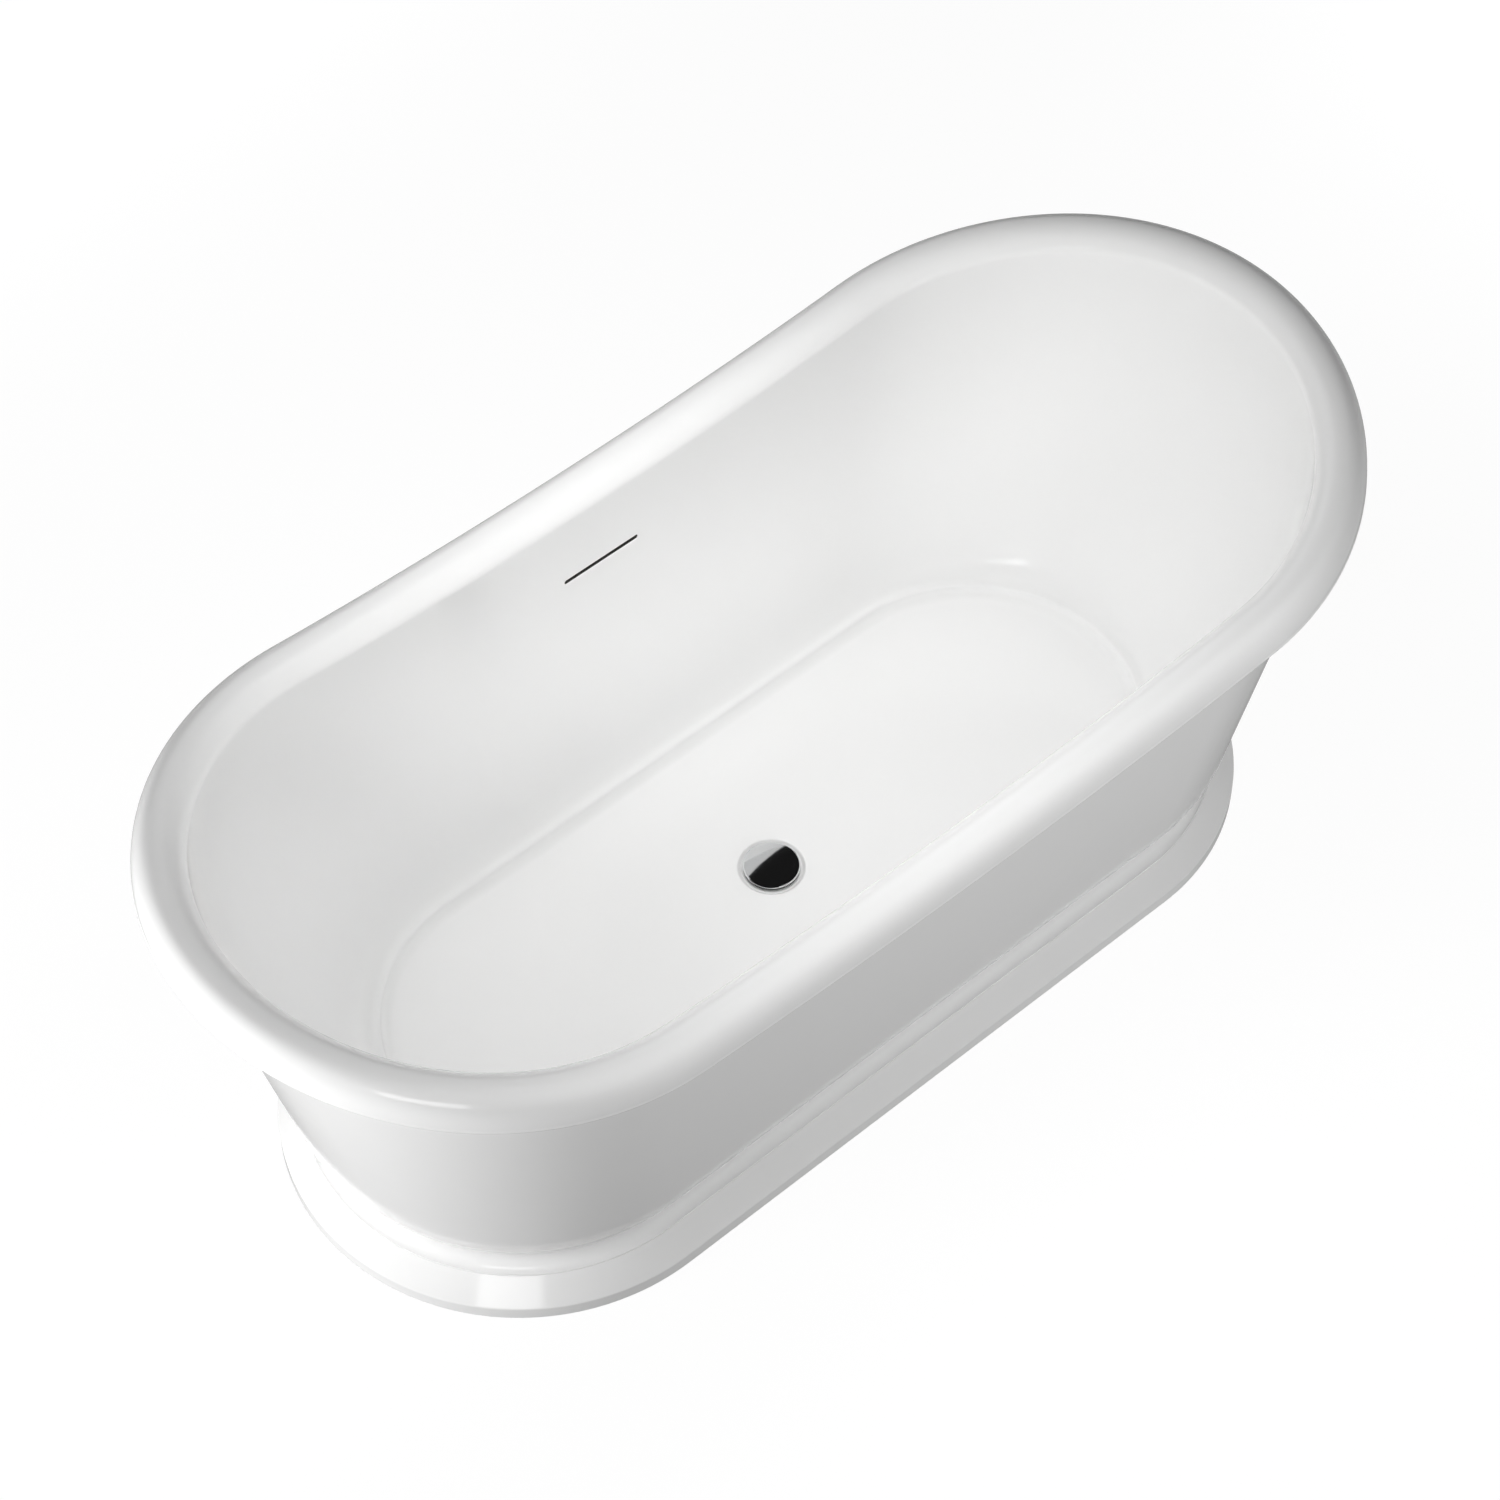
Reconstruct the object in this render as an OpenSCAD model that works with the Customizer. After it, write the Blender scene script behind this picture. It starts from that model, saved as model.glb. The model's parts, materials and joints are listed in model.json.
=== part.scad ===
// Freestanding double-ended bathtub: a rolled-rim basin in an outer skirt on a
// stepped plinth, with its support frame, levelling feet, waste and overflow.
// Origin at the middle of the footprint, on the floor. X runs along the tub,
// Y across it, Z up. All sizes are in millimetres.

/* [Overall] */
// Overall length over the rim
tub_l = 1700; // [1500:10:1850]
// Overall width over the rim
tub_w = 791; // [740:1:860]
// Height of the rim's crown at the middle of a long side
rim_h = 581; // [540:1:640]
// How much higher the crown is at the two ends
end_rise = 71.5; // [30:0.5:110]

/* [Rolled rim] */
// Width of the roll from its outer edge to the inner crease
roll_w = 66; // [56:1:76]
// Distance from the roll's outer edge in to its crown
roll_out = 28.4; // [22:0.2:34]
// Drop from the crown to the widest point of the roll
roll_drop = 41; // [34:1:48]
// Drop from the crown to the inner crease
crease_drop = 24.6; // [18:0.2:30]
// Outer radius of the curl at the lower edge of the roll
curl_r = 8; // [7:0.5:11]

/* [Basin] */
// Thickness of the reinforced acrylic shell
shell_t = 5; // [4:0.5:6]
// Distance from the rim's ends in to the sunken floor's upper edge
floor_end_in = 272; // [240:1:310]
// Distance from the rim's long sides in to the sunken floor's upper edge
floor_side_in = 175.5; // [165:0.5:190]
// Height of the ledge around the sunken floor
ledge_h = 150; // [140:1:165]
// Width of the ledge
ledge_w = 8; // [4:1:14]
// Depth of the step from the ledge down to the floor
step_h = 12; // [8:1:16]
// Horizontal run of the step's foot curve
step_run = 18; // [12:1:26]
// Fall of the floor from its edge to the waste
floor_fall = 8; // [4:1:12]
// Width of the curve between ledge and wall
fillet_run = 14; // [8:1:22]
// Height of the curve between ledge and wall
fillet_h = 26; // [16:1:40]

/* [Skirt] */
// Thickness of the skirt's shell
skirt_t = 4; // [3:0.5:5]
// Distance from the rim's outer edge in to the top of the skirt
skirt_in = 31; // [26:0.5:36]
// Drop from the crown to the top edge of the skirt
skirt_drop = 13; // [10:1:20]
// Height at which the skirt starts to curve in above the plinth
chin_h = 150; // [130:1:175]
// Distance from the rim's ends in to the skirt at that height
chin_end_in = 136.5; // [125:0.5:146]
// Distance from the rim's long sides in to the skirt at that height
chin_side_in = 95; // [88:0.5:100]
// Width of the cove above the plinth
cove_run = 14.5; // [8:0.5:22]
// Height of the cove above the plinth
cove_h = 20; // [12:1:28]
// Thickness of the skirt's foot where it stands on the plinth
skirt_foot = 2; // [1:0.5:4]

/* [Plinth] */
// Distance from the rim's ends in to the plinth's lower edge
plinth_end_in = 123; // [112:0.5:130]
// Distance from the rim's long sides in to the plinth's lower edge
plinth_side_in = 81.5; // [72:0.5:88]
// Height of the plinth
plinth_h = 46.6; // [38:0.2:56]
// Height of its upright lower band
band_h = 19.5; // [12:0.5:26]
// Horizontal run of its sloped face
slope_run = 31.3; // [20:0.1:40]
// Width of its flat top
top_run = 22; // [16:1:30]
// Thickness of its wall
plinth_t = 7; // [5:0.5:9]
// Width of its bottom flange
flange_run = 30; // [20:1:40]

/* [Waste] */
// Outer diameter of the plug's cap
cap_d = 74.6; // [72:0.2:76]
// Height of the cap's dome
cap_dome = 2; // [1:0.5:4]
// Height of the cap's upright rim
cap_rim = 3; // [2:0.5:5]
// Gap between the waste flange and the closed cap
cap_gap = 2.5; // [2:0.5:5]
// Travel of the plug from closed to open
plug_travel = 9.5; // [6:0.5:12]
// Diameter of the plug's stem
stem_d = 8; // [6:0.5:10]
// Outer diameter of the recess around the waste
recess_d = 90; // [84:1:100]
// Depth of that recess
recess_h = 3.5; // [2:0.5:5]
// Diameter of the waste flange
waste_flange_d = 68; // [64:1:70]
// Bore of the waste
throat_d = 40; // [38:1:42]
// Wall of the waste's threaded tube
throat_t = 3.5; // [3:0.5:4]
// Outer diameter of the outlet spigot
outlet_d = 40; // [32:1:42]
// Length of the outlet spigot
outlet_l = 24; // [18:1:28]

/* [Overflow] */
// Length of the overflow slot
slot_l = 120; // [100:1:140]
// Height of the overflow slot
slot_h = 6; // [5:0.5:8]
// Height of the slot's middle above the floor
slot_z = 452; // [420:1:470]
// Depth of the flat duct behind the wall
duct_d = 8; // [7:0.5:9]
// Width of the duct below the collector
duct_w = 62; // [50:1:80]
// Thickness of the duct's and the collector's walls
duct_t = 1.5; // [1:0.1:2]
// Thickness of the gasket between wall and collector
pad_t = 1.5; // [1:0.1:2]
// Inner diameter of the overflow hose
hose_d = 20; // [18:0.5:21]
// Wall of the overflow hose
hose_t = 2; // [1.5:0.1:2.5]

/* [Frame and feet] */
// Thickness of the floor board
board_t = 18; // [15:1:22]
// Distance from the floor's edge in to the board's edge
board_in = 38; // [30:1:60]
// Side of the square frame tube
tube_w = 30; // [25:1:32]
// Wall of the square frame tube
tube_t = 2; // [1.5:0.1:3]
// Distance from the floor's long sides in to the middle of each rail
rail_side_in = 70; // [62:1:90]
// Distance from the floor's ends in to the rails' ends
rail_end_in = 18; // [10:1:40]
// Distance from the rails' ends in to the outer crossbars
crossbar_in = 90; // [80:1:110]
// Distance from the middle of the tub to the inner crossbars
crossbar_mid = 190; // [170:1:220]
// Distance from the rails' ends in to the corner feet
foot_in = 40; // [34:1:44]
// Diameter of the levelling studs
stud_d = 10; // [8:1:12]
// Diameter of the foot pads
pad_d = 50; // [40:1:54]
// Height of the foot pads
pad_h = 14; // [12:1:18]
// How far each foot screws up
foot_up = 6; // [2:1:7]

/* [Hidden] */

// A clearance that keeps two glued or seated faces from cutting each other
touch = 0.2;
// Radial clearance of a sliding fit
slide_gap = 0.05;
// How far a cutter runs past the face that it cuts
past = 1;
// Facets of the turned pieces
$fn = 64;

// ---- Outline of the tub in plan -------------------------------------------------
// Every level of the tub is a straight-sided oval with half-round ends. A row holds
// one level: [half length, half width, share of the rim's rise, height]. The crown
// rises towards the ends, so a row with a share of 1 follows the rim, and one with a
// share of 0 is level.
// Facets of a quarter round and of a straight side
arc_steps = 13;
side_steps = 14;
// Share of the end rise that follows the square of the distance from the middle; the
// rest follows its fourth power
rise_square = 0.8;
function crown_rise(xi) = end_rise * (rise_square * pow(xi, 2) + (1 - rise_square) * pow(xi, 4));

// Plan points as [which end the arc is centred on, direction x, direction y]. They start
// in the middle of the right end, where no cap's triangle runs along a straight side
function arc_points(end, from, to) = [for (i = [0:arc_steps])
    let (a = from + (to - from) * i / arc_steps) [end, cos(a), sin(a)]];
function side_points(y) = [for (i = [1:side_steps - 1]) [y * (1 - 2 * i / side_steps), 0, y]];
plan = concat(
    arc_points(1, 0, 90), side_points(1),
    arc_points(-1, 90, 180), [for (i = [1:arc_steps]) arc_points(-1, 180, 270)[i]], side_points(-1),
    [for (i = [0:arc_steps - 1]) arc_points(1, -90, 0)[i]]);
plan_n = len(plan);

function row_points(r) = [for (q = plan)
    let (x = q[0] * (r[0] - r[1]) + q[1] * r[1])
    [x, q[2] * r[1], r[3] + r[2] * crown_rise(x / r[0])]];

function band_faces(lower, upper) = [for (k = [0:plan_n - 1])
    let (n = (k + 1) % plan_n, a = lower * plan_n, b = upper * plan_n)
    each [[a + k, b + k, b + n], [a + k, b + n, a + n]]];

// A solid whose skin runs through the rows in order, closed by the first and last
module closed_loft(rows) {
    last = len(rows) - 1;
    polyhedron(
        points = [for (r = rows) each row_points(r)],
        faces = concat(
            [[for (k = [0:plan_n - 1]) k]],
            [for (i = [0:last - 1]) each band_faces(i, i + 1)],
            [[for (k = [plan_n - 1:-1:0]) last * plan_n + k]]),
        convexity = 6);
}

// A ring whose section runs through the rows and back to the first one
module ring_loft(rows) {
    n = len(rows);
    polyhedron(
        points = [for (r = rows) each row_points(r)],
        faces = [for (i = [0:n - 1]) each band_faces(i, (i + 1) % n)],
        convexity = 6);
}

// Sections of a row through the middle of a long side and through an end
function side_of(r) = [r[1], r[3]];
function end_of(r) = [r[0], r[3] + r[2] * end_rise];
function right_of(d) = [d[1], -d[0]] / norm(d);

// The rows moved by t to the right of their own direction, as a sheet's other face
function shifted(rows, t) = [for (i = [0:len(rows) - 1])
    let (p = rows[max(i - 1, 0)],
         n = rows[min(i + 1, len(rows) - 1)],
         s = right_of(side_of(n) - side_of(p)),
         e = right_of(end_of(n) - end_of(p)))
    [rows[i][0] + t * e[0], rows[i][1] + t * s[0], rows[i][2], rows[i][3] + t * s[1]]];
function reversed(rows) = [for (i = [len(rows) - 1:-1:0]) rows[i]];

rim_a = tub_l / 2;
rim_b = tub_w / 2;
// A row on the rim, so far in from its edge and so far below its crown
function rim_row(inset, drop) = [rim_a - inset, rim_b - inset, 1, rim_h - drop];

// ---- Basin ----------------------------------------------------------------------
crease_h = rim_h - crease_drop;
foot_h = ledge_h + fillet_h;
floor_a = rim_a - floor_end_in;
floor_b = rim_b - floor_side_in;
// The wall leans in with the square of its depth below the crease, and its slope at
// the foot sets where the curve into the ledge begins
function wall_lean(crease_r, floor_r, depth) =
    (crease_r - floor_r - ledge_w - fillet_run) / (1 + 2 * fillet_h / depth);
side_lean = wall_lean(rim_b - roll_w, floor_b, crease_h - foot_h);
end_lean = wall_lean(rim_a - roll_w, floor_a, crease_h + end_rise - foot_h);
function wall_row(u) = [rim_a - roll_w - end_lean * u * u, rim_b - roll_w - side_lean * u * u,
    1 - u, (1 - u) * crease_h + u * foot_h];
// A row so far out from the sunken floor's upper edge
function floor_row(out_a, out_b, z) = [floor_a + out_a, floor_b + out_b, 0, z];

drain_z = ledge_h - step_h - floor_fall;
recess_z = drain_z - recess_h;
recess_r = recess_d / 2;
recess_flat_r = recess_r - 6;
under_z = recess_z - shell_t;
step_z = ledge_h - step_h;

function mid(a, b, f) = a + (b - a) * f;
// Point f of the way along a curve from a to c, drawn towards a corner b, and along one
// from a to d, drawn towards b and c
function corner_curve(a, b, c, f) = mid(mid(a, b, f), mid(b, c, f), f);
function pulled_curve(a, b, c, d, f) = mid(corner_curve(a, b, c, f), corner_curve(b, c, d, f), f);

recess_rows = [for (f = [0, 0.35, 0.75, 1])
    [mid(recess_flat_r, recess_r, f), mid(recess_flat_r, recess_r, f), 0,
     mid(recess_z, drain_z, f * f * (3 - 2 * f))]];
pan_rows = [for (f = [0.45, 1])
    [mid(recess_r, floor_a - step_run, f), mid(recess_r, floor_b - step_run, f), 0,
     mid(drain_z, step_z, f)]];
step_rows = [for (f = [0.35, 0.6, 0.8, 1])
    let (p = corner_curve([-step_run, step_z], [-step_run / 4, step_z], [0, ledge_h], f))
    floor_row(p[0], p[0], p[1])];
side_bend = 2 * side_lean / (crease_h - foot_h) * fillet_h;
end_bend = 2 * end_lean / (crease_h + end_rise - foot_h) * fillet_h;
function fillet_row(f) =
    let (s = corner_curve([ledge_w, ledge_h], [ledge_w + fillet_run, ledge_h],
                          [ledge_w + fillet_run + side_bend, foot_h], f),
         e = corner_curve([ledge_w, ledge_h], [ledge_w + fillet_run, ledge_h],
                          [ledge_w + fillet_run + end_bend, foot_h], f))
    floor_row(e[0], s[0], s[1]);
fillet_rows = [for (f = [0, 0.35, 0.7]) fillet_row(f)];
wall_rows = [for (u = [1, 0.86, 0.7, 0.52, 0.32, 0.14, 0]) wall_row(u)];
roll_span = 60;
inner_roll_rows = [for (a = [48, 34, 18])
    rim_row(roll_out + (roll_w - roll_out) * sin(a) / sin(roll_span),
            crease_drop * (1 - cos(a)) / (1 - cos(roll_span)))];
outer_roll_rows = [for (a = [90, 72, 55, 38, 20, 0])
    rim_row(roll_out * (1 - cos(a)), roll_drop * (1 - sin(a)))];
curl_rows = [for (a = [30, 65, 100])
    rim_row(curl_r * (1 - cos(a)), roll_drop + curl_r * sin(a))];
upper_rows = concat(wall_rows, inner_roll_rows, outer_roll_rows, curl_rows);
inner_rows = concat(recess_rows, pan_rows, step_rows, fillet_rows, upper_rows);
back_rows = shifted(concat(fillet_rows, upper_rows), shell_t);
// The floor is thickened below the ledge, down to a flat underside
under_rows = [floor_row(-step_run / 2, -step_run / 2, under_z)];

// Where the shell's back is, beside the middle of the tub, at height z
function wall_u(z) = (crease_h - z) / (crease_h - foot_h);
function back_of_wall(z) = rim_b - roll_w - side_lean * pow(wall_u(z), 2)
    + shell_t * sqrt(1 + pow(2 * side_lean * wall_u(z) / (crease_h - foot_h), 2));

// ---- Skirt and plinth -----------------------------------------------------------
plinth_a = rim_a - plinth_end_in;
plinth_b = rim_b - plinth_side_in;
// A row so far in from the plinth's outline
function plinth_row(inset, z) = [plinth_a - inset, plinth_b - inset, 0, z];
neck_in = slope_run + cove_run;
neck_h = plinth_h + skirt_foot + cove_h;
skirt_top = rim_row(skirt_in, skirt_drop);
chin_row = [rim_a - chin_end_in, rim_b - chin_side_in, 0, chin_h];
// A row of the skirt's straight flank, from the chin at 0 to the top edge at 1
function flank_row(v) = mid(chin_row, skirt_top, v);
end_slant = (skirt_in - chin_end_in) / (end_of(skirt_top)[1] - chin_h);
side_slant = (skirt_in - chin_side_in) / (side_of(skirt_top)[1] - chin_h);
chin_pull = (chin_h - neck_h) * 0.55;
neck_pull = (chin_h - neck_h) * 0.18;
// Section of the curve from the cove out to the flank, as [distance in from the rim, z]
function chin_curve(neck, chin, slant, f) = pulled_curve(
    [neck, neck_h],
    [neck, neck_h + neck_pull],
    [chin - chin_pull * slant, chin_h - chin_pull],
    [chin, chin_h], f);
function chin_curve_row(f) = let (
    e = chin_curve(plinth_end_in + neck_in, chin_end_in, end_slant, f),
    s = chin_curve(plinth_side_in + neck_in, chin_side_in, side_slant, f))
    [rim_a - e[0], rim_b - s[0], 0, s[1]];
skirt_out_rows = concat(
    [for (a = [90, 65, 40, 18]) plinth_row(neck_in - cove_run * (1 - cos(a)), neck_h - cove_h * sin(a))],
    [for (f = [0, 0.2, 0.4, 0.6, 0.8]) chin_curve_row(f)],
    [for (v = [0, 0.34, 0.67, 1]) flank_row(v)]);
skirt_back_rows = shifted([for (i = [3:len(skirt_out_rows) - 1]) skirt_out_rows[i]], -skirt_t);

module basin_shell() {
    closed_loft(concat(inner_rows, reversed(back_rows), under_rows));
}

module slot_cut(l, h) {
    translate([0, rim_b, slot_z])
        rotate([90, 0, 0])
            linear_extrude(rim_b - floor_b / 2) {
                square([l - h, h], center = true);
                for (s = [-1, 1])
                    translate([s * (l - h) / 2, 0])
                        circle(d = h);
            }
}

module basin() {
    color("white")
        difference() {
            basin_shell();
            translate([0, 0, under_z - past])
                cylinder(d = throat_d + 2 * throat_t + 2, h = shell_t + 2 * past);
            slot_cut(slot_l, slot_h);
        }
}

module skirt() {
    color("white")
        ring_loft(concat([plinth_row(slope_run, plinth_h)], skirt_out_rows, reversed(skirt_back_rows),
                         [plinth_row(neck_in + skirt_t, plinth_h)]));
}

module plinth() {
    top_in = slope_run + top_run;
    color("white")
        ring_loft([
            plinth_row(0, 0),
            plinth_row(0, band_h),
            plinth_row(slope_run, plinth_h),
            plinth_row(top_in, plinth_h),
            plinth_row(top_in, plinth_h - plinth_t),
            plinth_row(slope_run + 2, plinth_h - plinth_t),
            plinth_row(plinth_t, band_h - 2),
            plinth_row(plinth_t, plinth_t),
            plinth_row(flange_run, plinth_t),
            plinth_row(flange_run, 0)]);
}

// ---- Rim bead -------------------------------------------------------------------
// Adhesive between the skirt's top edge and the underside of the roll
module rim_bead() {
    outer_in = skirt_in - 1;
    inner_in = skirt_in + skirt_t + 1;
    roof = shell_t + 1;
    color("ivory")
        ring_loft([
            rim_row(outer_in, skirt_drop - touch),
            rim_row(outer_in, roof),
            rim_row(inner_in, roof + 1.2),
            rim_row(inner_in, skirt_drop - touch - skirt_t / 4)]);
}

// ---- Floor board and frame ------------------------------------------------------
board_top = under_z;
board_z = board_top - board_t;
board_half = floor_b - board_in;
board_mid = floor_a - board_in - board_half;
board_hole_d = 120;
rail_z = board_z - tube_w;
rail_y = floor_b - rail_side_in;
rail_a = floor_a - rail_end_in;
crossbar_out = rail_a - crossbar_in;
crossbar_x = [-crossbar_out, -crossbar_mid, crossbar_mid, crossbar_out];
foot_x = rail_a - foot_in;
// The four corner feet are under the rails, the other two under the inner crossbars
foot_xy = [[-foot_x, -rail_y], [foot_x, -rail_y], [-foot_x, rail_y], [foot_x, rail_y],
           [crossbar_x[1], 0], [crossbar_x[2], 0]];
// Each crossbar has a pair of tabs beside it, on the side of the middle
tab_off = 70;
tab_x = [for (x = crossbar_x) x - sign(x) * tab_off];
tab_w = 30;
tab_reach = 34;
tab_t = 3;
screw_d = 5;
screw_head_d = 10;
screw_head_h = 3;
screw_in = 14;
// Screw places, halfway along each tab's free part
screw_xy = [for (x = tab_x, s = [-1, 1]) [x, s * (rail_y - tube_w / 2 - tab_reach / 2)]];
screw_fit = screw_d + 2 * slide_gap;

module at_each(places) {
    for (p = places)
        translate([p[0], p[1], 0])
            children();
}

// Straight-sided oval plate with half-round ends
module oval_plate(mid_half, r, z, h) {
    translate([0, 0, z])
        linear_extrude(h)
            union() {
                square([2 * mid_half, 2 * r], center = true);
                for (s = [-1, 1])
                    translate([s * mid_half, 0])
                        circle(r = r);
            }
}

module floor_board() {
    color("burlywood")
        difference() {
            oval_plate(board_mid, board_half, board_z, board_t);
            translate([0, 0, board_z - past])
                cylinder(d = board_hole_d, h = board_t + 2 * past);
            at_each(screw_xy)
                translate([0, 0, board_z - past])
                    cylinder(d = screw_fit, h = screw_in + past);
        }
}

// Square tube along X from the origin, resting on z = 0 and centred on y = 0
module square_tube(l) {
    difference() {
        translate([0, -tube_w / 2, 0])
            cube([l, tube_w, tube_w]);
        translate([-past, -tube_w / 2 + tube_t, tube_t])
            cube([l + 2 * past, tube_w - 2 * tube_t, tube_w - 2 * tube_t]);
    }
}

stud_hole_d = stud_d + 3;
module stud_holes(places) {
    at_each(places)
        translate([0, 0, rail_z - past])
            cylinder(d = stud_hole_d, h = tube_t + 2 * past);
}

module rail(side) {
    color("silver")
        difference() {
            translate([-rail_a, side * rail_y, rail_z])
                square_tube(2 * rail_a);
            stud_holes([for (p = foot_xy) if (p[1] == side * rail_y) p]);
        }
}

module crossbar(i) {
    l = 2 * rail_y - tube_w;
    color("silver")
        difference() {
            translate([crossbar_x[i], -l / 2, rail_z])
                rotate([0, 0, 90])
                    square_tube(l);
            stud_holes([for (p = foot_xy) if (p[0] == crossbar_x[i]) p]);
        }
}

module frame_tabs() {
    color("silver")
        for (x = tab_x, s = [-1, 1])
            difference() {
                translate([x, s * (rail_y - tube_w / 2 - tab_reach / 2), board_z - tab_t / 2])
                    cube([tab_w, tab_reach, tab_t], center = true);
                translate([x, s * (rail_y - tube_w / 2 - tab_reach / 2), board_z - tab_t - past])
                    cylinder(d = screw_fit, h = tab_t + 2 * past);
            }
}

module tab_screws() {
    color("gray")
        at_each(screw_xy)
            translate([0, 0, board_z - tab_t - screw_head_h])
                rotate_extrude()
                    polygon([
                        [0, 0],
                        [screw_head_d / 2 - 1, 0],
                        [screw_head_d / 2, 1],
                        [screw_head_d / 2, screw_head_h],
                        [screw_d / 2, screw_head_h],
                        [screw_d / 2, screw_head_h + tab_t + screw_in - 3],
                        [0, screw_head_h + tab_t + screw_in - 1]]);
}

// ---- Levelling feet -------------------------------------------------------------
nut_w = 1.7 * stud_d;
nut_h = 0.8 * stud_d;
stud_fit = stud_d + 2 * slide_gap;
weld_nut_z = rail_z - nut_h;
lock_nut_z = weld_nut_z - 0.6 * stud_d;
stud_z = 6;
stud_top = rail_z + tube_w - tube_t - foot_up - 1;

// Hexagon nut with its bore, from z = 0 up
module hex_nut(h) {
    difference() {
        cylinder(d = nut_w / cos(30), h = h, $fn = 6);
        translate([0, 0, -past])
            cylinder(d = stud_fit, h = h + 2 * past);
    }
}

module weld_nuts() {
    color("silver")
        at_each(foot_xy)
            translate([0, 0, weld_nut_z])
                hex_nut(nut_h);
}

module lock_nuts() {
    color("silver")
        at_each(foot_xy)
            translate([0, 0, lock_nut_z])
                hex_nut(weld_nut_z - lock_nut_z);
}

module foot_stud(i) {
    color("lightgray")
        at_each([foot_xy[i]])
            union() {
                translate([0, 0, stud_z])
                    cylinder(d = stud_d, h = stud_top - stud_z);
                translate([0, 0, pad_h])
                    cylinder(d = nut_w / cos(30), h = nut_h, $fn = 6);
            }
}

module foot_pad(i) {
    color("dimgray")
        at_each([foot_xy[i]])
            rotate_extrude()
                polygon([
                    [0, 0],
                    [pad_d / 2 - 1, 0],
                    [pad_d / 2, 1],
                    [pad_d / 2, pad_h / 3],
                    [pad_d / 3, pad_h - 2],
                    [pad_d / 3 - 2, pad_h],
                    [stud_fit / 2, pad_h],
                    [stud_fit / 2, stud_z],
                    [0, stud_z]]);
}

// ---- Waste ----------------------------------------------------------------------
gasket_t = 1;
flange_t = 2;
flange_z = recess_z + gasket_t;
flange_top = flange_z + flange_t;
throat_r = throat_d / 2;
tube_r = throat_r + throat_t;
ring_bore_r = tube_r + slide_gap;
seal_t = 5;
washer_t = 2;
waste_nut_h = 10;
seal_r = tube_r + 11;
waste_nut_z = under_z - seal_t - washer_t - waste_nut_h;
socket_top = waste_nut_z - 2;
socket_z = socket_top - 15;
socket_r = ring_bore_r + 4;
chamber_r = throat_r + 1;
chamber_t = 3;
outlet_z = 14;
chamber_z = outlet_z + outlet_l;
outlet_bore_r = outlet_d / 2 - 3;
branch_z = 55;
branch_end = 97;
spigot_r = hose_d / 2 - slide_gap;
spigot_bore_r = spigot_r - 2;

module ring(r_in, r_out, z, h) {
    translate([0, 0, z])
        difference() {
            cylinder(r = r_out, h = h);
            translate([0, 0, -past])
                cylinder(r = r_in, h = h + 2 * past);
        }
}

module waste_flange() {
    rim_r = waste_flange_d / 2;
    color("silver")
        rotate_extrude()
            polygon([
                [throat_r, socket_z],
                [tube_r, socket_z],
                [tube_r, flange_z],
                [rim_r, flange_z],
                [rim_r, flange_z + 0.8],
                [rim_r - 3, flange_top],
                [throat_r + 1.5, flange_top],
                [throat_r, flange_top - 1.5]]);
}

module flange_gasket() {
    color("dimgray")
        ring(ring_bore_r, waste_flange_d / 2 - 1, recess_z, gasket_t);
}

module waste_seal() {
    color("dimgray")
        ring(ring_bore_r, seal_r, under_z - seal_t, seal_t);
}

module waste_washer() {
    color("silver")
        ring(ring_bore_r, seal_r, under_z - seal_t - washer_t, washer_t);
}

// Lugged ring nut on the threaded tube
module waste_nut() {
    lugs = 6;
    lug_w = 9;
    lug_r = seal_r + 2;
    color("whitesmoke")
        union() {
            ring(ring_bore_r, seal_r - 3, waste_nut_z, waste_nut_h);
            for (i = [0:lugs - 1])
                rotate([0, 0, i * 360 / lugs])
                    translate([ring_bore_r + 2, -lug_w / 2, waste_nut_z])
                        cube([lug_r - ring_bore_r - 2, lug_w, waste_nut_h - 2]);
        }
}

module waste_body() {
    color("whitesmoke")
        difference() {
            union() {
                translate([0, 0, socket_z - 4])
                    cylinder(r = socket_r, h = socket_top - socket_z + 4);
                translate([0, 0, chamber_z])
                    cylinder(r = chamber_r + chamber_t, h = socket_z - chamber_z);
                translate([0, 0, outlet_z])
                    cylinder(r = outlet_d / 2, h = outlet_l + past);
                translate([0, 0, branch_z])
                    rotate([-90, 0, 0])
                        cylinder(r = spigot_r, h = branch_end);
                translate([0, 0, branch_z])
                    rotate([-90, 0, 0])
                        cylinder(r = spigot_r + 2, h = branch_end - 22);
            }
            translate([0, 0, socket_z])
                cylinder(r = ring_bore_r, h = socket_top - socket_z + past);
            translate([0, 0, chamber_z + chamber_t])
                cylinder(r = chamber_r, h = socket_z - chamber_z - chamber_t + past);
            translate([0, 0, outlet_z - past])
                cylinder(r = outlet_bore_r, h = outlet_l + chamber_t + 2 * past);
            translate([0, 0, branch_z])
                rotate([-90, 0, 0])
                    cylinder(r = spigot_bore_r, h = branch_end + past);
        }
}

// ---- Pop-up plug ----------------------------------------------------------------
cap_z = flange_top + cap_gap;
cap_r = cap_d / 2;
stem_r = stem_d / 2;
stem_fit_r = stem_r + slide_gap;
cartridge_r = stem_r + 4;
cartridge_z = 76;
cartridge_h = 32;
cartridge_wall = 1.6;
chamber_in_r = cartridge_r - cartridge_wall;
collar_h = 2;
collar_z = cartridge_z + cartridge_h - cartridge_wall - collar_h - plug_travel - 1;
guide_z = 90;
guide_h = 9;
guide_ring_t = 2;
guide_arms = 3;
arm_w = 3;
spring_wire = 0.9;
spring_turns = 5;

module plug_cap() {
    color("gainsboro")
        translate([0, 0, cap_z])
            rotate_extrude()
                polygon(concat(
                    [[0, 0], [cap_r - 0.8, 0], [cap_r, 0.8], [cap_r, cap_rim - 0.6]],
                    [for (f = [0:0.125:1])
                        [(cap_r - 0.6) * (1 - f), cap_rim + cap_dome * (1 - pow(1 - f, 2))]]));
}

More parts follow.
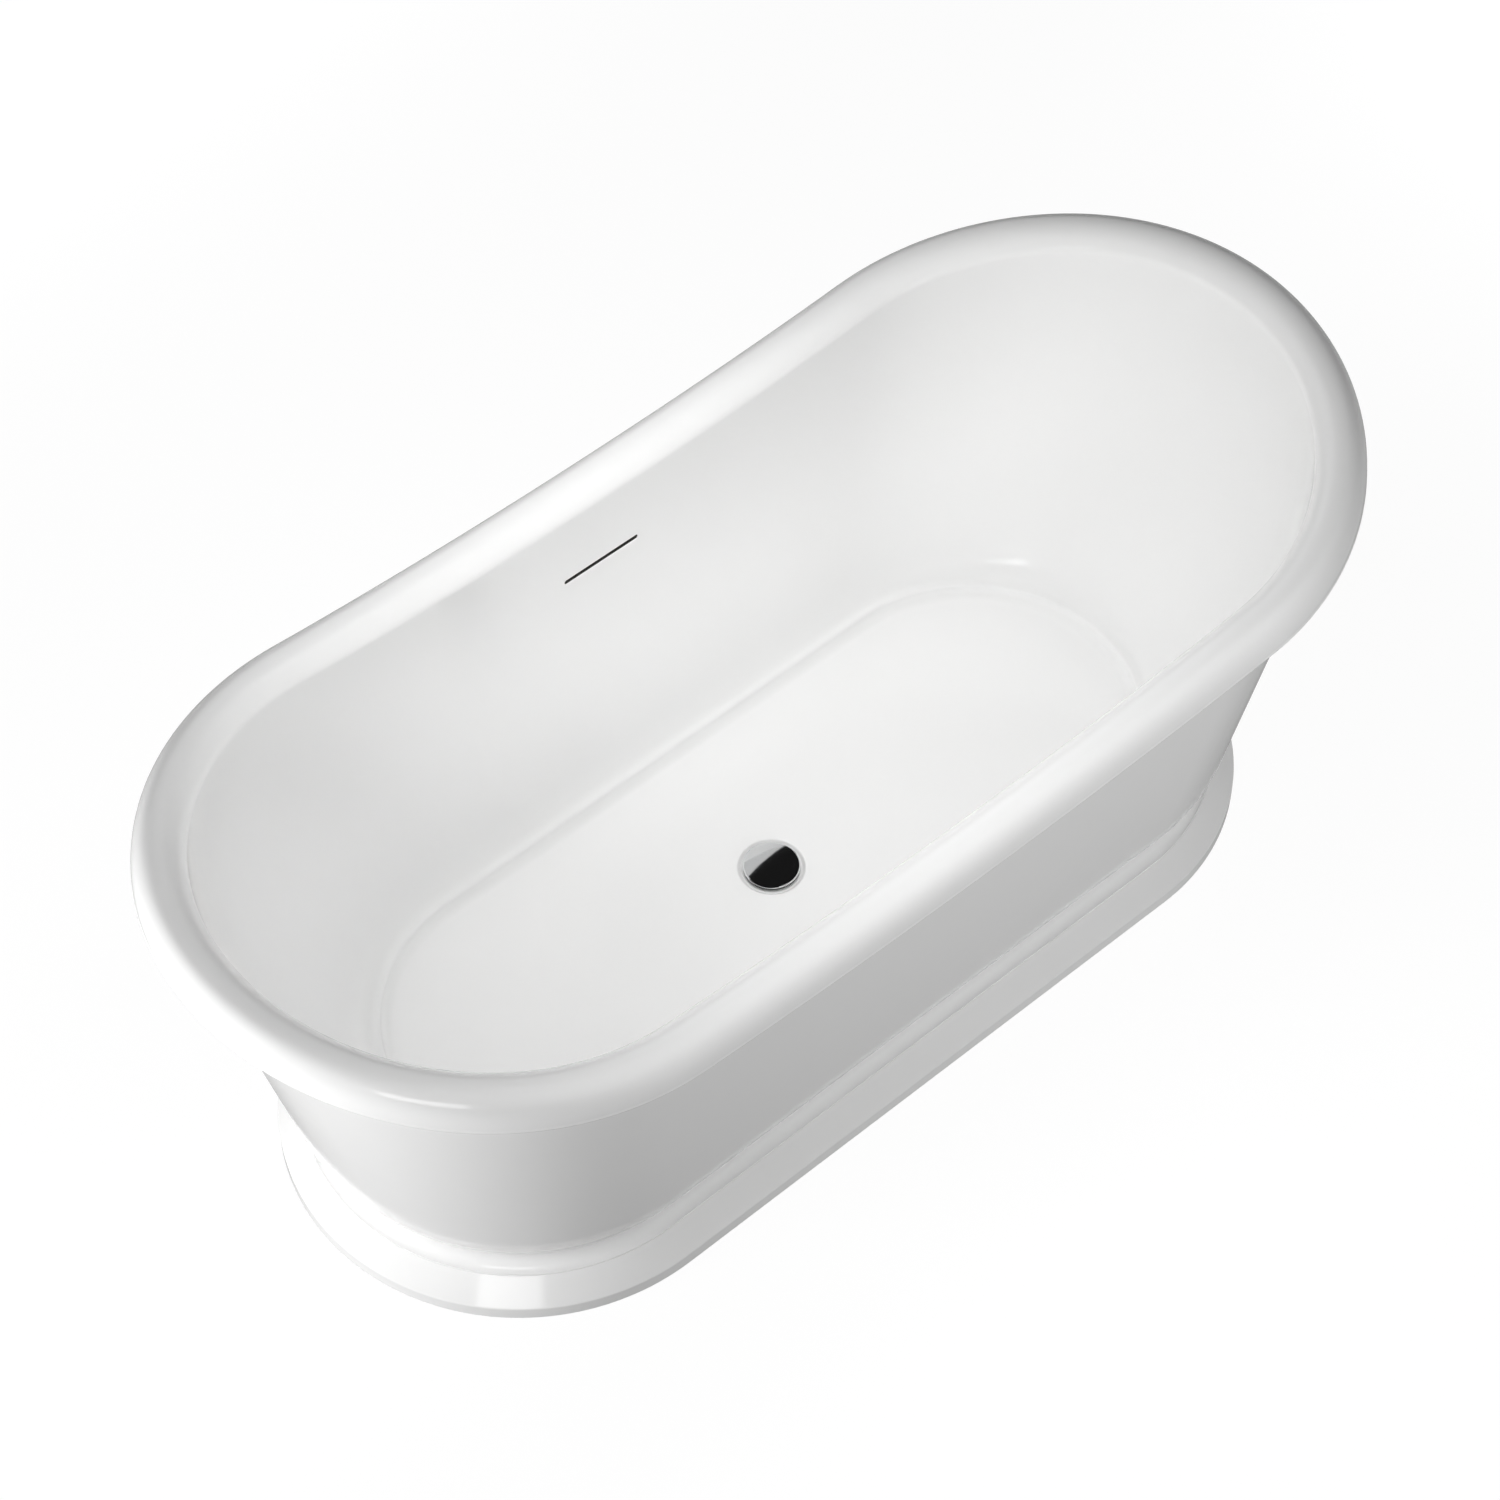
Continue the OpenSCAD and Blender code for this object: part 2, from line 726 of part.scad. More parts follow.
module plug_seal() {
    color("dimgray")
        ring(stem_r + 2, throat_r + 5, flange_top, cap_gap);
}

module plug_stem() {
    stem_z = cartridge_z + cartridge_wall + 1;
    color("silver")
        union() {
            translate([0, 0, stem_z])
                cylinder(r = stem_r, h = cap_z - stem_z);
            translate([0, 0, collar_z])
                cylinder(r = chamber_in_r - 0.3, h = collar_h);
        }
}

// Closed tube with a bored lid in which the stem's collar travels
module click_cartridge() {
    color("whitesmoke")
        translate([0, 0, cartridge_z])
            rotate_extrude()
                polygon([
                    [0, 0],
                    [cartridge_r, 0],
                    [cartridge_r, cartridge_h],
                    [stem_fit_r, cartridge_h],
                    [stem_fit_r, cartridge_h - cartridge_wall],
                    [chamber_in_r, cartridge_h - cartridge_wall],
                    [chamber_in_r, cartridge_wall],
                    [0, cartridge_wall]]);
}

// Three-armed holder of the cartridge in the throat
module plug_guide() {
    hub_r = cartridge_r + slide_gap;
    color("whitesmoke")
        difference() {
            union() {
                ring(throat_r - guide_ring_t, throat_r - slide_gap, guide_z, guide_h);
                for (i = [0:guide_arms - 1])
                    rotate([0, 0, 90 + i * 360 / guide_arms])
                        translate([0, -arm_w / 2, guide_z])
                            cube([throat_r - guide_ring_t + 1, arm_w, guide_h]);
                translate([0, 0, guide_z])
                    cylinder(r = hub_r + 2, h = guide_h);
            }
            translate([0, 0, guide_z - past])
                cylinder(r = hub_r, h = guide_h + 2 * past);
        }
}

function unit(v) = v / norm(v);
// Skin of a round bar of radius r with the given sides, along points with cross axes
function bar_points(path, axes, r, sides) = [for (i = [0:len(path) - 1], k = [0:sides - 1])
    let (a = 360 * k / sides)
    path[i] + r * (cos(a) * axes[i][0] + sin(a) * axes[i][1])];
function bar_faces(rings, sides) = concat(
    [[for (k = [sides - 1:-1:0]) k]],
    [for (i = [0:rings - 2], k = [0:sides - 1])
        let (n = (k + 1) % sides, a = i * sides, b = a + sides)
        each [[a + k, a + n, b + n], [a + k, b + n, b + k]]],
    [[for (k = [0:sides - 1]) (rings - 1) * sides + k]]);

// Coil spring between the cartridge's floor and the stem's collar
module plug_spring() {
    steps = 16;
    sides = 6;
    coil_r = (stem_r + chamber_in_r) / 2;
    z0 = cartridge_z + cartridge_wall + spring_wire / 2;
    rise = collar_z - z0 - spring_wire / 2;
    turns = [for (i = [0:steps * spring_turns]) i / steps];
    path = [for (t = turns) [coil_r * cos(360 * t), coil_r * sin(360 * t), z0 + rise * t / spring_turns]];
    axes = [for (t = turns) [[cos(360 * t), sin(360 * t), 0], [0, 0, 1]]];
    color("silver")
        polyhedron(
            points = bar_points(path, axes, spring_wire / 2, sides),
            faces = bar_faces(len(path), sides),
            convexity = 10);
}

// ---- Overflow -------------------------------------------------------------------
duct_z = 213;
funnel_z = 260;
collector_z = slot_z - 16;
collector_top = slot_z + 18;
collector_w = slot_l + 14;
duct_zs = [duct_z, 228, funnel_z, 300, 350, 400, collector_z, collector_top];
spigot_l = 22;
duct_back = pad_t + touch;
// The spigot stands just clear of the duct's back wall
spigot_y = duct_back_y(duct_z) + duct_t + spigot_r + touch;
// The duct's back follows the wall; its front widens below funnel_z to hold the spigot
function duct_back_y(z) = back_of_wall(z) + duct_back;
function duct_front_y(z) = z >= funnel_z
    ? duct_back_y(z) + duct_d
    : mid(spigot_y + spigot_r + duct_t, duct_back_y(funnel_z) + duct_d, (z - duct_z) / (funnel_z - duct_z));

// Side section of the duct between two heights, t inside its outer faces
function duct_section(from, to, t) =
    let (zs = [for (z = duct_zs) if (z >= from && z <= to) z],
         last = len(zs) - 1,
         inner = [for (i = [0:last]) zs[i] + (i == 0 ? t : 0) - (i == last ? t : 0)])
    concat([for (z = inner) [duct_back_y(z) + t, z]],
           [for (i = [last:-1:0]) [duct_front_y(inner[i]) - t, inner[i]]]);

// A section in Y and Z, extruded along X about the middle
module across_x(w, section) {
    rotate([90, 0, 90])
        translate([0, 0, -w / 2])
            linear_extrude(w)
                polygon(section);
}

module at_spigot(z) {
    translate([0, spigot_y, z])
        children();
}

module overflow_duct() {
    color("whitesmoke")
        difference() {
            union() {
                across_x(collector_w, duct_section(collector_z, collector_top, 0));
                across_x(duct_w, duct_section(duct_z, collector_top, 0));
                at_spigot(duct_z - spigot_l)
                    cylinder(r = spigot_r, h = spigot_l + past);
            }
            across_x(collector_w - 2 * duct_t, duct_section(collector_z, collector_top, duct_t));
            across_x(duct_w - 2 * duct_t, duct_section(duct_z, collector_top, duct_t));
            at_spigot(duct_z - spigot_l - past)
                cylinder(r = spigot_bore_r, h = spigot_l + duct_t + 2 * past);
            slot_window();
        }
}

// Window in the collector and its gasket, a little larger than the slot
module slot_window() {
    intersection() {
        slot_cut(slot_l + 4, slot_h + 10);
        translate([0, duct_front_y(slot_z) - duct_t - rim_b, slot_z])
            cube([tub_l, 2 * rim_b, 2 * slot_h + 20], center = true);
    }
}

module duct_gasket() {
    wall_side = [for (z = [collector_z, collector_top]) [back_of_wall(z) + touch, z]];
    duct_side = [for (z = [collector_top, collector_z]) [duct_back_y(z), z]];
    color("dimgray")
        difference() {
            across_x(collector_w, concat(wall_side, duct_side));
            slot_window();
        }
}

// Route of the overflow hose in the middle plane, as [y, z]: off the duct's spigot, down
// inside the skirt, under the rail and on to the branch
hose_grip = 21;
hose_fall = 88;
hose_turn = 39;
hose_from = [spigot_y, duct_z - spigot_l];
hose_to = [branch_end + 3, branch_z];
hose_route = concat(
    [[spigot_y, duct_z]],
    [for (f = [0:0.125:1])
        pulled_curve(hose_from, hose_from - [0, hose_fall], [spigot_y - hose_turn, branch_z], hose_to, f)],
    [[branch_end - hose_grip, branch_z]]);
hose_sides = 12;
hose_in_r = hose_d / 2 / cos(180 / hose_sides);
hose_out_r = hose_in_r + hose_t;

module hose_bar(r, extra) {
    last = len(hose_route) - 1;
    path = [for (i = [0:last])
        let (p = hose_route[i],
             d = unit(hose_route[min(i + 1, last)] - hose_route[max(i - 1, 0)]),
             q = i == 0 ? p - extra * d : i == last ? p + extra * d : p)
        [0, q[0], q[1]]];
    axes = [for (i = [0:last])
        let (d = unit(hose_route[min(i + 1, last)] - hose_route[max(i - 1, 0)]))
        [[1, 0, 0], [0, -d[1], d[0]]]];
    polyhedron(
        points = bar_points(path, axes, r, hose_sides),
        faces = bar_faces(len(path), hose_sides),
        convexity = 4);
}

module overflow_hose() {
    color("gray")
        difference() {
            hose_bar(hose_out_r, 0);
            hose_bar(hose_in_r, past);
        }
}

module hose_clips() {
    clip_r = hose_out_r + touch;
    clip_t = 1.2;
    clip_w = 9;
    color("silver") {
        at_spigot(duct_z - spigot_l + 6)
            ring(clip_r, clip_r + clip_t, 0, clip_w);
        translate([0, branch_end - 6, branch_z])
            rotate([90, 0, 0])
                ring(clip_r, clip_r + clip_t, 0, clip_w);
    }
}

basin();
skirt();
plinth();
rim_bead();
floor_board();
rail(-1);  // rail_front
rail(1);  // rail_back
crossbar(0);  // crossbar_1
crossbar(1);  // crossbar_2
crossbar(2);  // crossbar_3
crossbar(3);  // crossbar_4
frame_tabs();
tab_screws();
weld_nuts();
lock_nuts();
foot_stud(0);  // foot_stud_1
foot_stud(1);  // foot_stud_2
foot_stud(2);  // foot_stud_3
foot_stud(3);  // foot_stud_4
foot_stud(4);  // foot_stud_5
foot_stud(5);  // foot_stud_6
foot_pad(0);  // foot_pad_1
foot_pad(1);  // foot_pad_2
foot_pad(2);  // foot_pad_3
foot_pad(3);  // foot_pad_4
foot_pad(4);  // foot_pad_5
foot_pad(5);  // foot_pad_6
waste_flange();
flange_gasket();
waste_seal();
waste_washer();
waste_nut();
waste_body();
plug_cap();
plug_seal();
plug_stem();
plug_guide();
click_cartridge();
plug_spring();
overflow_duct();
duct_gasket();
overflow_hose();
hose_clips();
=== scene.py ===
# %% [markdown]
# # A freestanding bathtub
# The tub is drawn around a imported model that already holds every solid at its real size.
# The model's small pieces are exact, so they only need a finish. Its three big shells are
# coarse, so they are drawn again here as fine, smooth surfaces in the same place.

# %% Frame
import json
import math
import bpy
import numpy as np
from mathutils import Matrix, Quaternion, Vector


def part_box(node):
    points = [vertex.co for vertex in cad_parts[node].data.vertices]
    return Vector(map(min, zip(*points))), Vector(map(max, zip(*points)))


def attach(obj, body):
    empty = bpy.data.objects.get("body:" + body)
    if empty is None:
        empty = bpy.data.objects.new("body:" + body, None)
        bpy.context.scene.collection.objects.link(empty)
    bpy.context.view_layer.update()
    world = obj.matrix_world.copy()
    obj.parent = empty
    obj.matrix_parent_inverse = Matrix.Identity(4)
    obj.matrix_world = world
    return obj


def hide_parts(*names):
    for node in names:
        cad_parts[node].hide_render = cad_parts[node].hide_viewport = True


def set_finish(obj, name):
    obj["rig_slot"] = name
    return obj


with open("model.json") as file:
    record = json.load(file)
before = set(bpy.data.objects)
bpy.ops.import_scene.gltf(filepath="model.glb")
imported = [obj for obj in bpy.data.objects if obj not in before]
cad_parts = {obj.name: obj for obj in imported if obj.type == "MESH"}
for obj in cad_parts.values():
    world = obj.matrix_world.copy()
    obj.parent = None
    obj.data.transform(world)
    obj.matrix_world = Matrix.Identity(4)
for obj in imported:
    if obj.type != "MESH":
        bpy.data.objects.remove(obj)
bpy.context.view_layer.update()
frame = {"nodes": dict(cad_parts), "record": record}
nodes = frame["nodes"]

# %% [markdown]
# ## Sizes
# The shells follow the model's own box: its length, width and height come from the frame.
# What a box can't tell, such as how wide the roll is, is a named length in metres.

# %% Sizes of the tub
MM = 0.001
basin_high, plinth_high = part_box("basin")[1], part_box("plinth")[1]
rim_a, rim_b = basin_high[0], basin_high[1]
plinth_a, plinth_b = plinth_high[0], plinth_high[1]
end_top = basin_high[2]
end_rise = 71.5 * MM
rim_h = end_top - end_rise
rise_square = 0.8           # share of the rise that grows with the square of the distance out

roll_w, roll_out = 66 * MM, 28.4 * MM            # from edge to crease, from edge to crown
roll_drop, crease_drop = 41 * MM, 24.6 * MM      # edge and crease below the crown
roll_span, curl_r, curl_span = math.radians(60), 8 * MM, 100
bead_depth, bead_span = 0.9 * MM, 50             # groove at the roll's foot, degrees above it
shell_t = 5 * MM
print(f"tub {2 * rim_a:.3f} x {2 * rim_b:.3f} x {end_top:.3f} m, rim {rim_h:.3f} m high amidships")

# %% Sizes of the floor, skirt and plinth
floor_a, floor_b = 578 * MM, 220 * MM
ledge_h, ledge_w = 150 * MM, 8 * MM
step_h, step_run = 12 * MM, 18 * MM
floor_fall = 8 * MM
fillet_run, fillet_h = 14 * MM, 26 * MM
recess_r, recess_flat_r, recess_h = 45 * MM, 39 * MM, 3.5 * MM
hole_r = 24.5 * MM
slot_l, slot_h, slot_z = 120 * MM, 6 * MM, 452 * MM

skirt_t, skirt_in, skirt_drop = 4 * MM, 31 * MM, 13 * MM
chin_h, chin_end_in, chin_side_in = 150 * MM, 136.5 * MM, 95 * MM
cove_run, cove_h, skirt_foot = 14.5 * MM, 20 * MM, 2 * MM
plinth_h = plinth_high[2]
band_h, slope_run, top_run = 19.5 * MM, 31.3 * MM, 22 * MM
plinth_t, flange_run = 7 * MM, 30 * MM
print(f"floor {2 * floor_a:.3f} x {2 * floor_b:.3f} m, plinth {plinth_h:.4f} m high")

# %% [markdown]
# ## One rule for every shell
# Seen from above, each level of the tub is a straight-sided oval with half-round ends. A
# *row* holds one level as four numbers: half length, half width, share of the rim's rise and
# height. Rows are points on a line in four dimensions, so a curve through rows is a curve
# at the tub's side and another at its end, drawn at once. The real shells are formed over a
# mould of just this kind: one section, carried round.

# %% Columns round the oval
ARC, SIDE = 44, 30          # facets of a quarter round and of a straight side


def oval_columns(arc=ARC, side=SIDE):
    """Where each column of the grid stands: the end that its arc is centred on, from 1 to -1
    along a straight side, and the direction (cos, sin) from that centre."""
    a = np.linspace(0, 90, arc, endpoint=False)
    s = np.linspace(1, -1, side, endpoint=False)
    end = [np.ones(arc), s, -np.ones(2 * arc), -s, np.ones(arc)]
    deg = [a, np.full(side, 90), np.linspace(90, 270, 2 * arc, endpoint=False),
           np.full(side, 270), 270 + a]
    deg = np.radians(np.concatenate(deg))
    return np.stack([np.concatenate(end), np.cos(deg), np.sin(deg)])


def crown_rise(share):
    """The rim's rise at a share of the half length: its square, with a little of its fourth
    power, so that it stays low amidships and turns up at the ends."""
    return end_rise * (rise_square * share**2 + (1 - rise_square) * share**4)


def lofted(rows, columns):
    """Grid of points: each row's straight part and arc put at its half length and width, and
    lifted by its share of the crown's rise."""
    a, b, k, z = (v[:, None] for v in np.asarray(rows).T)
    end, cos, sin = columns
    x = end * (a - b) + cos * b
    return np.stack([x, sin * b + 0 * x, z + k * crown_rise(x / a)], axis=-1)


columns = oval_columns()
print("columns round the tub", columns.shape[1])

# %% Rows from two sections
def rim_row(inset, drop):
    """Rows so far in from the roll's edge and so far below its crown."""
    inset, drop = np.broadcast_arrays(inset, drop)
    return np.stack([rim_a - inset, rim_b - inset, 1 + 0 * inset, rim_h - drop], axis=-1)


def level_row(a, b, z):
    """Rows at one level: half length, half width and height."""
    a, b, z = np.broadcast_arrays(a, b, z)
    return np.stack([a, b, 0.0 * a, z], axis=-1)


def straight(p, q, n):
    """Rows from p to q, closer together at both ends, where the next curve begins."""
    f = (1 - np.cos(np.pi * np.arange(n + 1) / n))[:, None] / 2
    return p + (np.asarray(q) - p) * f


def bent(p, corner, q, n):
    """A curve from p to q that leaves and arrives along the lines to the corner: a parabola."""
    f = np.linspace(0, 1, n + 1)[:, None]
    return p * (1 - f) ** 2 + 2 * corner * f * (1 - f) + q * f**2


def eased(lines, reaches, n=6):
    """Joins runs of rows end to end. At a joint with a reach, a parabola that starts so far
    before the corner and ends so far after it rounds the corner off."""
    out = [lines[0]]
    for line, reach in zip(lines[1:], reaches):
        if not reach:
            out.append(line[1:])
            continue
        corner, before = line[0], out[-1]
        d0 = np.linalg.norm((before - corner)[:, 1:4:2], axis=1)
        d1 = np.linalg.norm((line - corner)[:, 1:4:2], axis=1)
        start = corner + (before[d0 > reach][-1] - corner) * reach / d0[d0 > reach][-1]
        stop = corner + (line[d1 > reach][0] - corner) * reach / d1[d1 > reach][0]
        out[-1] = before[d0 > reach]
        out += [bent(start, corner, stop, n), line[d1 > reach]]
    return np.concatenate(out)


def offset(rows, t):
    """The same rows on the sheet's other face: each moved by t at right angles to the run, to
    its right, in the side section and in the end section."""
    rise = rows[:, 2] * end_rise
    out = rows.copy()
    for half, up in ((1, rows[:, 3]), (0, rows[:, 3] + rise)):
        along, climb = np.gradient(rows[:, half]), np.gradient(up)
        size = np.hypot(along, climb)
        out[:, half] += t * climb / size
        if half == 1:
            out[:, 3] -= t * along / size
    return out


print("crown's row", rim_row(roll_out, 0).round(4))
print("edge's row", rim_row(0, roll_drop).round(4))


# %% Meshes from grids
def grid_quads(count, ring=True, skip=None):
    """Quads between neighbouring rows of a grid of count = (rows, columns), closed round the
    columns and, if ring, from the last row back to the first. skip masks quads left out."""
    m, n = count
    i, j = np.meshgrid(np.arange(m if ring else m - 1), np.arange(n), indexing="ij")
    if skip is not None:
        i, j = i[~skip], j[~skip]
    i, j = i.ravel(), j.ravel()
    k, l = (i + 1) % m, (j + 1) % n
    return np.stack([i * n + j, k * n + j, k * n + l, i * n + l], axis=1)


def new_piece(name, points, faces, body, slot, *replaced):
    """A smooth mesh object from an array of points and arrays of faces, riding on a body."""
    mesh = bpy.data.meshes.new(name)
    points = np.asarray(points, float).reshape(-1, 3)
    corners = np.concatenate([f.ravel() for f in faces]).astype(np.int32)
    sizes = np.concatenate([np.full(len(f), f.shape[1]) for f in faces])
    mesh.vertices.add(len(points))
    mesh.vertices.foreach_set("co", points.ravel())
    mesh.loops.add(len(corners))
    mesh.loops.foreach_set("vertex_index", corners)
    mesh.polygons.add(len(sizes))
    mesh.polygons.foreach_set("loop_start", (np.cumsum(sizes) - sizes).astype(np.int32))
    mesh.polygons.foreach_set("use_smooth", np.ones(len(sizes), bool))
    mesh.update(calc_edges=True)
    mesh.validate()
    piece = bpy.data.objects.new(name, mesh)
    bpy.context.scene.collection.objects.link(piece)
    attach(piece, body)
    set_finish(piece, slot)
    if replaced:
        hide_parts(*replaced)
    print(f"{name}: {len(points)} points, {len(sizes)} faces")
    return piece


# %% [markdown]
# ## Basin
# The real basin is one sheet of acrylic, drawn down over a mould and backed with glass
# fibre. Here one closed section runs from the waste's hole over the floor, the ledge, the
# wall and the roll to the curled lip, and back behind it all. Low on the roll's outer side a
# shallow groove leaves a bead along its foot, which catches a thin line of light. The floor
# starts as a circle round the waste and spreads to the oval, along straight lines.

# %% Basin's section
drain_z = ledge_h - step_h - floor_fall
recess_z = drain_z - recess_h
under_z = recess_z - shell_t
step_z = ledge_h - step_h
crease_h = rim_h - crease_drop
foot_h = ledge_h + fillet_h


def wall_lean(crease_r, floor_r, depth):
    """How far the wall leans in from crease to foot, so that its slope runs on into the
    curve above the ledge."""
    return (crease_r - floor_r - ledge_w - fillet_run) / (1 + 2 * fillet_h / depth)


side_lean = wall_lean(rim_b - roll_w, floor_b, crease_h - foot_h)
end_lean = wall_lean(rim_a - roll_w, floor_a, crease_h + end_rise - foot_h)
side_bend = 2 * side_lean / (crease_h - foot_h) * fillet_h
end_bend = 2 * end_lean / (crease_h + end_rise - foot_h) * fillet_h


def wall_row(u):
    """The wall leans in with the square of u, from 0 at the crease to 1 at its foot."""
    u = np.asarray(u, float)
    return np.stack([rim_a - roll_w - end_lean * u**2, rim_b - roll_w - side_lean * u**2,
                     1 - u, (1 - u) * crease_h + u * foot_h], axis=-1)


def floor_row(out, z, out_end=None):
    """Rows so far out from the sunken floor's upper edge, at a height."""
    return level_row(floor_a + (out if out_end is None else out_end), floor_b + out, z)


# the wall's rows lie closest beside the slot, where a window is left out of the grid
window, window_half = 3, 12 * MM                 # columns and height each side of its middle
u_low, u_high = ((crease_h - slot_z + side * window_half) / (crease_h - foot_h)
                 for side in (1, -1))
wall_u = np.concatenate([np.linspace(1, u_low, 28)[:-1], np.linspace(u_low, u_high, 11)[:-1],
                         np.linspace(u_high, 0, 14)])
foot_curve = bent(floor_row(-step_run, step_z), floor_row(-step_run / 4, step_z),
                  floor_row(0, ledge_h), 12)
ledge = straight(floor_row(0, ledge_h), floor_row(ledge_w, ledge_h), 5)
fillet_out = ledge_w + fillet_run
fillet = bent(floor_row(ledge_w, ledge_h), floor_row(fillet_out, ledge_h),
              floor_row(fillet_out + side_bend, foot_h, fillet_out + end_bend), 14)
print("wall leans in by", round(side_lean, 4), "at the side,", round(end_lean, 4), "at the end")

# %% Basin's roll
turn = np.linspace(1, 0, 19) * roll_span
inner_roll = rim_row(roll_out + (roll_w - roll_out) * np.sin(turn) / np.sin(roll_span),
                     crease_drop * (1 - np.cos(turn)) / (1 - np.cos(roll_span)))
turn = np.radians(np.linspace(90, 0, 25))
groove = bead_depth * np.clip(1 - np.degrees(turn) / bead_span, 0, 1)**2
outer_roll = rim_row(roll_out * (1 - np.cos(turn)) + groove, roll_drop * (1 - np.sin(turn)))
turn = np.radians(np.linspace(0, curl_span, 13))
curl = rim_row(curl_r * (1 - np.cos(turn)), roll_drop + curl_r * np.sin(turn))
step_round, crease_round = 3 * MM, 5 * MM
inner = eased([foot_curve, ledge, fillet, wall_row(wall_u), inner_roll, outer_roll, curl],
              [step_round, 0, 0, crease_round, 0, 0])
step_rows = 20                                   # left out behind, where the floor is thick
behind = offset(inner[step_rows:], shell_t)[::-1]
print("basin: rows inside", len(inner), "behind", len(behind))

# %% Basin's grid
def circle_points(r, z):
    """Rows of points on circles round the waste, in the directions of the floor's edge."""
    r, z = np.broadcast_arrays(r, z)
    x, y, _ = np.moveaxis(lofted(floor_row(0, 0)[None], columns)[0], -1, 0)
    size = np.hypot(x, y)
    return np.stack([np.outer(r, x / size), np.outer(r, y / size),
                     np.outer(z, np.ones_like(x))], axis=-1)


def spread(circle, oval, n):
    """Rows of points that run straight from a circle to an oval, without the two ends."""
    f = np.linspace(0, 1, n + 2)[1:-1, None, None]
    return circle * (1 - f) + oval * f


hole = straight(np.array([hole_r, under_z]), np.array([hole_r, recess_z - MM]), 4)
rim_of_hole = bent(hole[-1], np.array([hole_r, recess_z]),
                   np.array([hole_r + MM, recess_z]), 4)[1:]
recess_flat = straight(rim_of_hole[-1], np.array([recess_flat_r, recess_z]), 6)[1:]
share = np.linspace(0, 1, 13)[1:]
recess_side = np.stack([recess_flat_r + (recess_r - recess_flat_r) * share,
                        recess_z + recess_h * share**2 * (3 - 2 * share)], axis=1)
middle = circle_points(*np.concatenate([hole, rim_of_hole, recess_flat, recess_side]).T)
inside, outside = lofted(inner, columns), lofted(behind, columns)
underside = lofted(floor_row(-step_run / 2, under_z)[None], columns)
floor_rows, under_rows = 16, 4
grid = np.concatenate([
    middle, spread(middle[-1], inside[0], floor_rows), inside, outside, underside,
    spread(underside[0], middle[0], under_rows)])
print("basin's grid", grid.shape)

# %% [markdown]
# The overflow slot goes right through the wall. The grid leaves out a window round it, on
# the inside and behind. Rings of points then close in from the window to the slot's edge,
# round over it, go through the sheet and open out again behind. A thin black lip lines the
# slot as painted shade: on the real tub one sees only the shaded duct behind it.

# %% Slot's rings
def window_loop(start, low, high, left, right):
    """Numbers of the grid's points round a window: along its lowest row, up its last column,
    back along its highest row and down its first column."""
    n, step = columns.shape[1], np.sign(high - low)
    up = np.arange(low, high, step)
    along = np.arange(left, right)
    loop = [low * n + along, up * n + right, high * n + along[::-1] + 1,
            (up[::-1] + step) * n + left]
    return start * n + np.concatenate(loop)


def slot_outline(count_along, count_up, grow):
    """Points round the slot, as offsets along X and Z from its middle: two straight runs and
    two half circles, all grown outwards by the same distance."""
    r = slot_h / 2 + grow
    half = (slot_l - slot_h) / 2
    f = np.arange(count_along) / count_along
    turn = np.pi * np.arange(count_up) / count_up
    x = [half * (1 - 2 * f), -half - r * np.sin(turn),
         half * (2 * f - 1), half + r * np.sin(turn)]
    z = [0 * f - r, -r * np.cos(turn), 0 * f + r, r * np.cos(turn)]
    return np.concatenate(x), slot_z + np.concatenate(z)


def wall_y(x, z):
    """Where the wall's inner face is at x and z, beside the straight part: the depth below
    the crease, which rises with x, gives the half width."""
    u = np.zeros_like(x)
    for _ in range(4):
        rise = crown_rise(x / (rim_a - roll_w - end_lean * u**2))
        u = (crease_h + rise - z) / (crease_h + rise - foot_h)
    return rim_b - roll_w - side_lean * u**2


first_inside = len(middle) + floor_rows
low_row, high_row = (int(np.argmin(np.abs(inner - wall_row(u)).sum(axis=1)))
                     for u in (u_low, u_high))
left, right = ARC + SIDE // 2 - window, ARC + SIDE // 2 + window
front_loop = window_loop(first_inside, low_row, high_row, left, right)
back_low, back_high = (2 * len(inner) - 1 - r for r in (low_row, high_row))
back_loop = window_loop(first_inside, back_low, back_high, left, right)
points = grid.reshape(-1, 3)
print("window's rows", low_row, "to", high_row, "and corner", points[front_loop[0]].round(4))

# %% Basin
edge_r = 1.2 * MM                                # rounding of the slot's edge
counts = right - left, high_row - low_row
front, back = points[front_loop], points[back_loop]


def slot_ring(grow, depth):
    """The slot's outline on the wall's face, grown sideways and pushed into the wall."""
    x, z = slot_outline(*counts, grow)
    return np.stack([x, wall_y(x, z) + depth, z], axis=1)


mouth = slot_ring(edge_r, 0)
rings = [front]
for share in (np.arange(1, 9) / 8) ** 0.8:       # closing in, a little closer near the mouth
    x, _, z = (front + (mouth - front) * share).T
    rings.append(np.stack([x, wall_y(x, z), z], axis=1))
for turn in np.radians([22.5, 45, 67.5, 90]):    # over the rounded edge
    rings.append(slot_ring(edge_r * (1 - np.sin(turn)), edge_r * (1 - np.cos(turn))))
rings += [slot_ring(0, shell_t * share) for share in (0.4, 0.7, 0.98)]
far = slot_ring(0, shell_t * 1.02)               # just behind the sheet
rings += [far + (back - far) * share for share in (0, 0.1, 0.4, 0.7)] + [back]

added = [len(points) + k * len(front) + np.arange(len(front)) for k in range(len(rings) - 2)]
loops = [front_loop] + added + [back_loop]
patch = [np.stack([np.roll(p, -1), p, q, np.roll(q, -1)], axis=1)
         for p, q in zip(loops, loops[1:])]
skip = np.zeros(grid.shape[:2], bool)
skip[first_inside + low_row:first_inside + high_row, left:right] = True
skip[first_inside + back_high:first_inside + back_low, left:right] = True
basin = new_piece("basin_shell", np.concatenate([points] + rings[1:-1]),
                  [grid_quads(grid.shape[:2], skip=skip)] + patch, "tub", "acrylic", "basin")
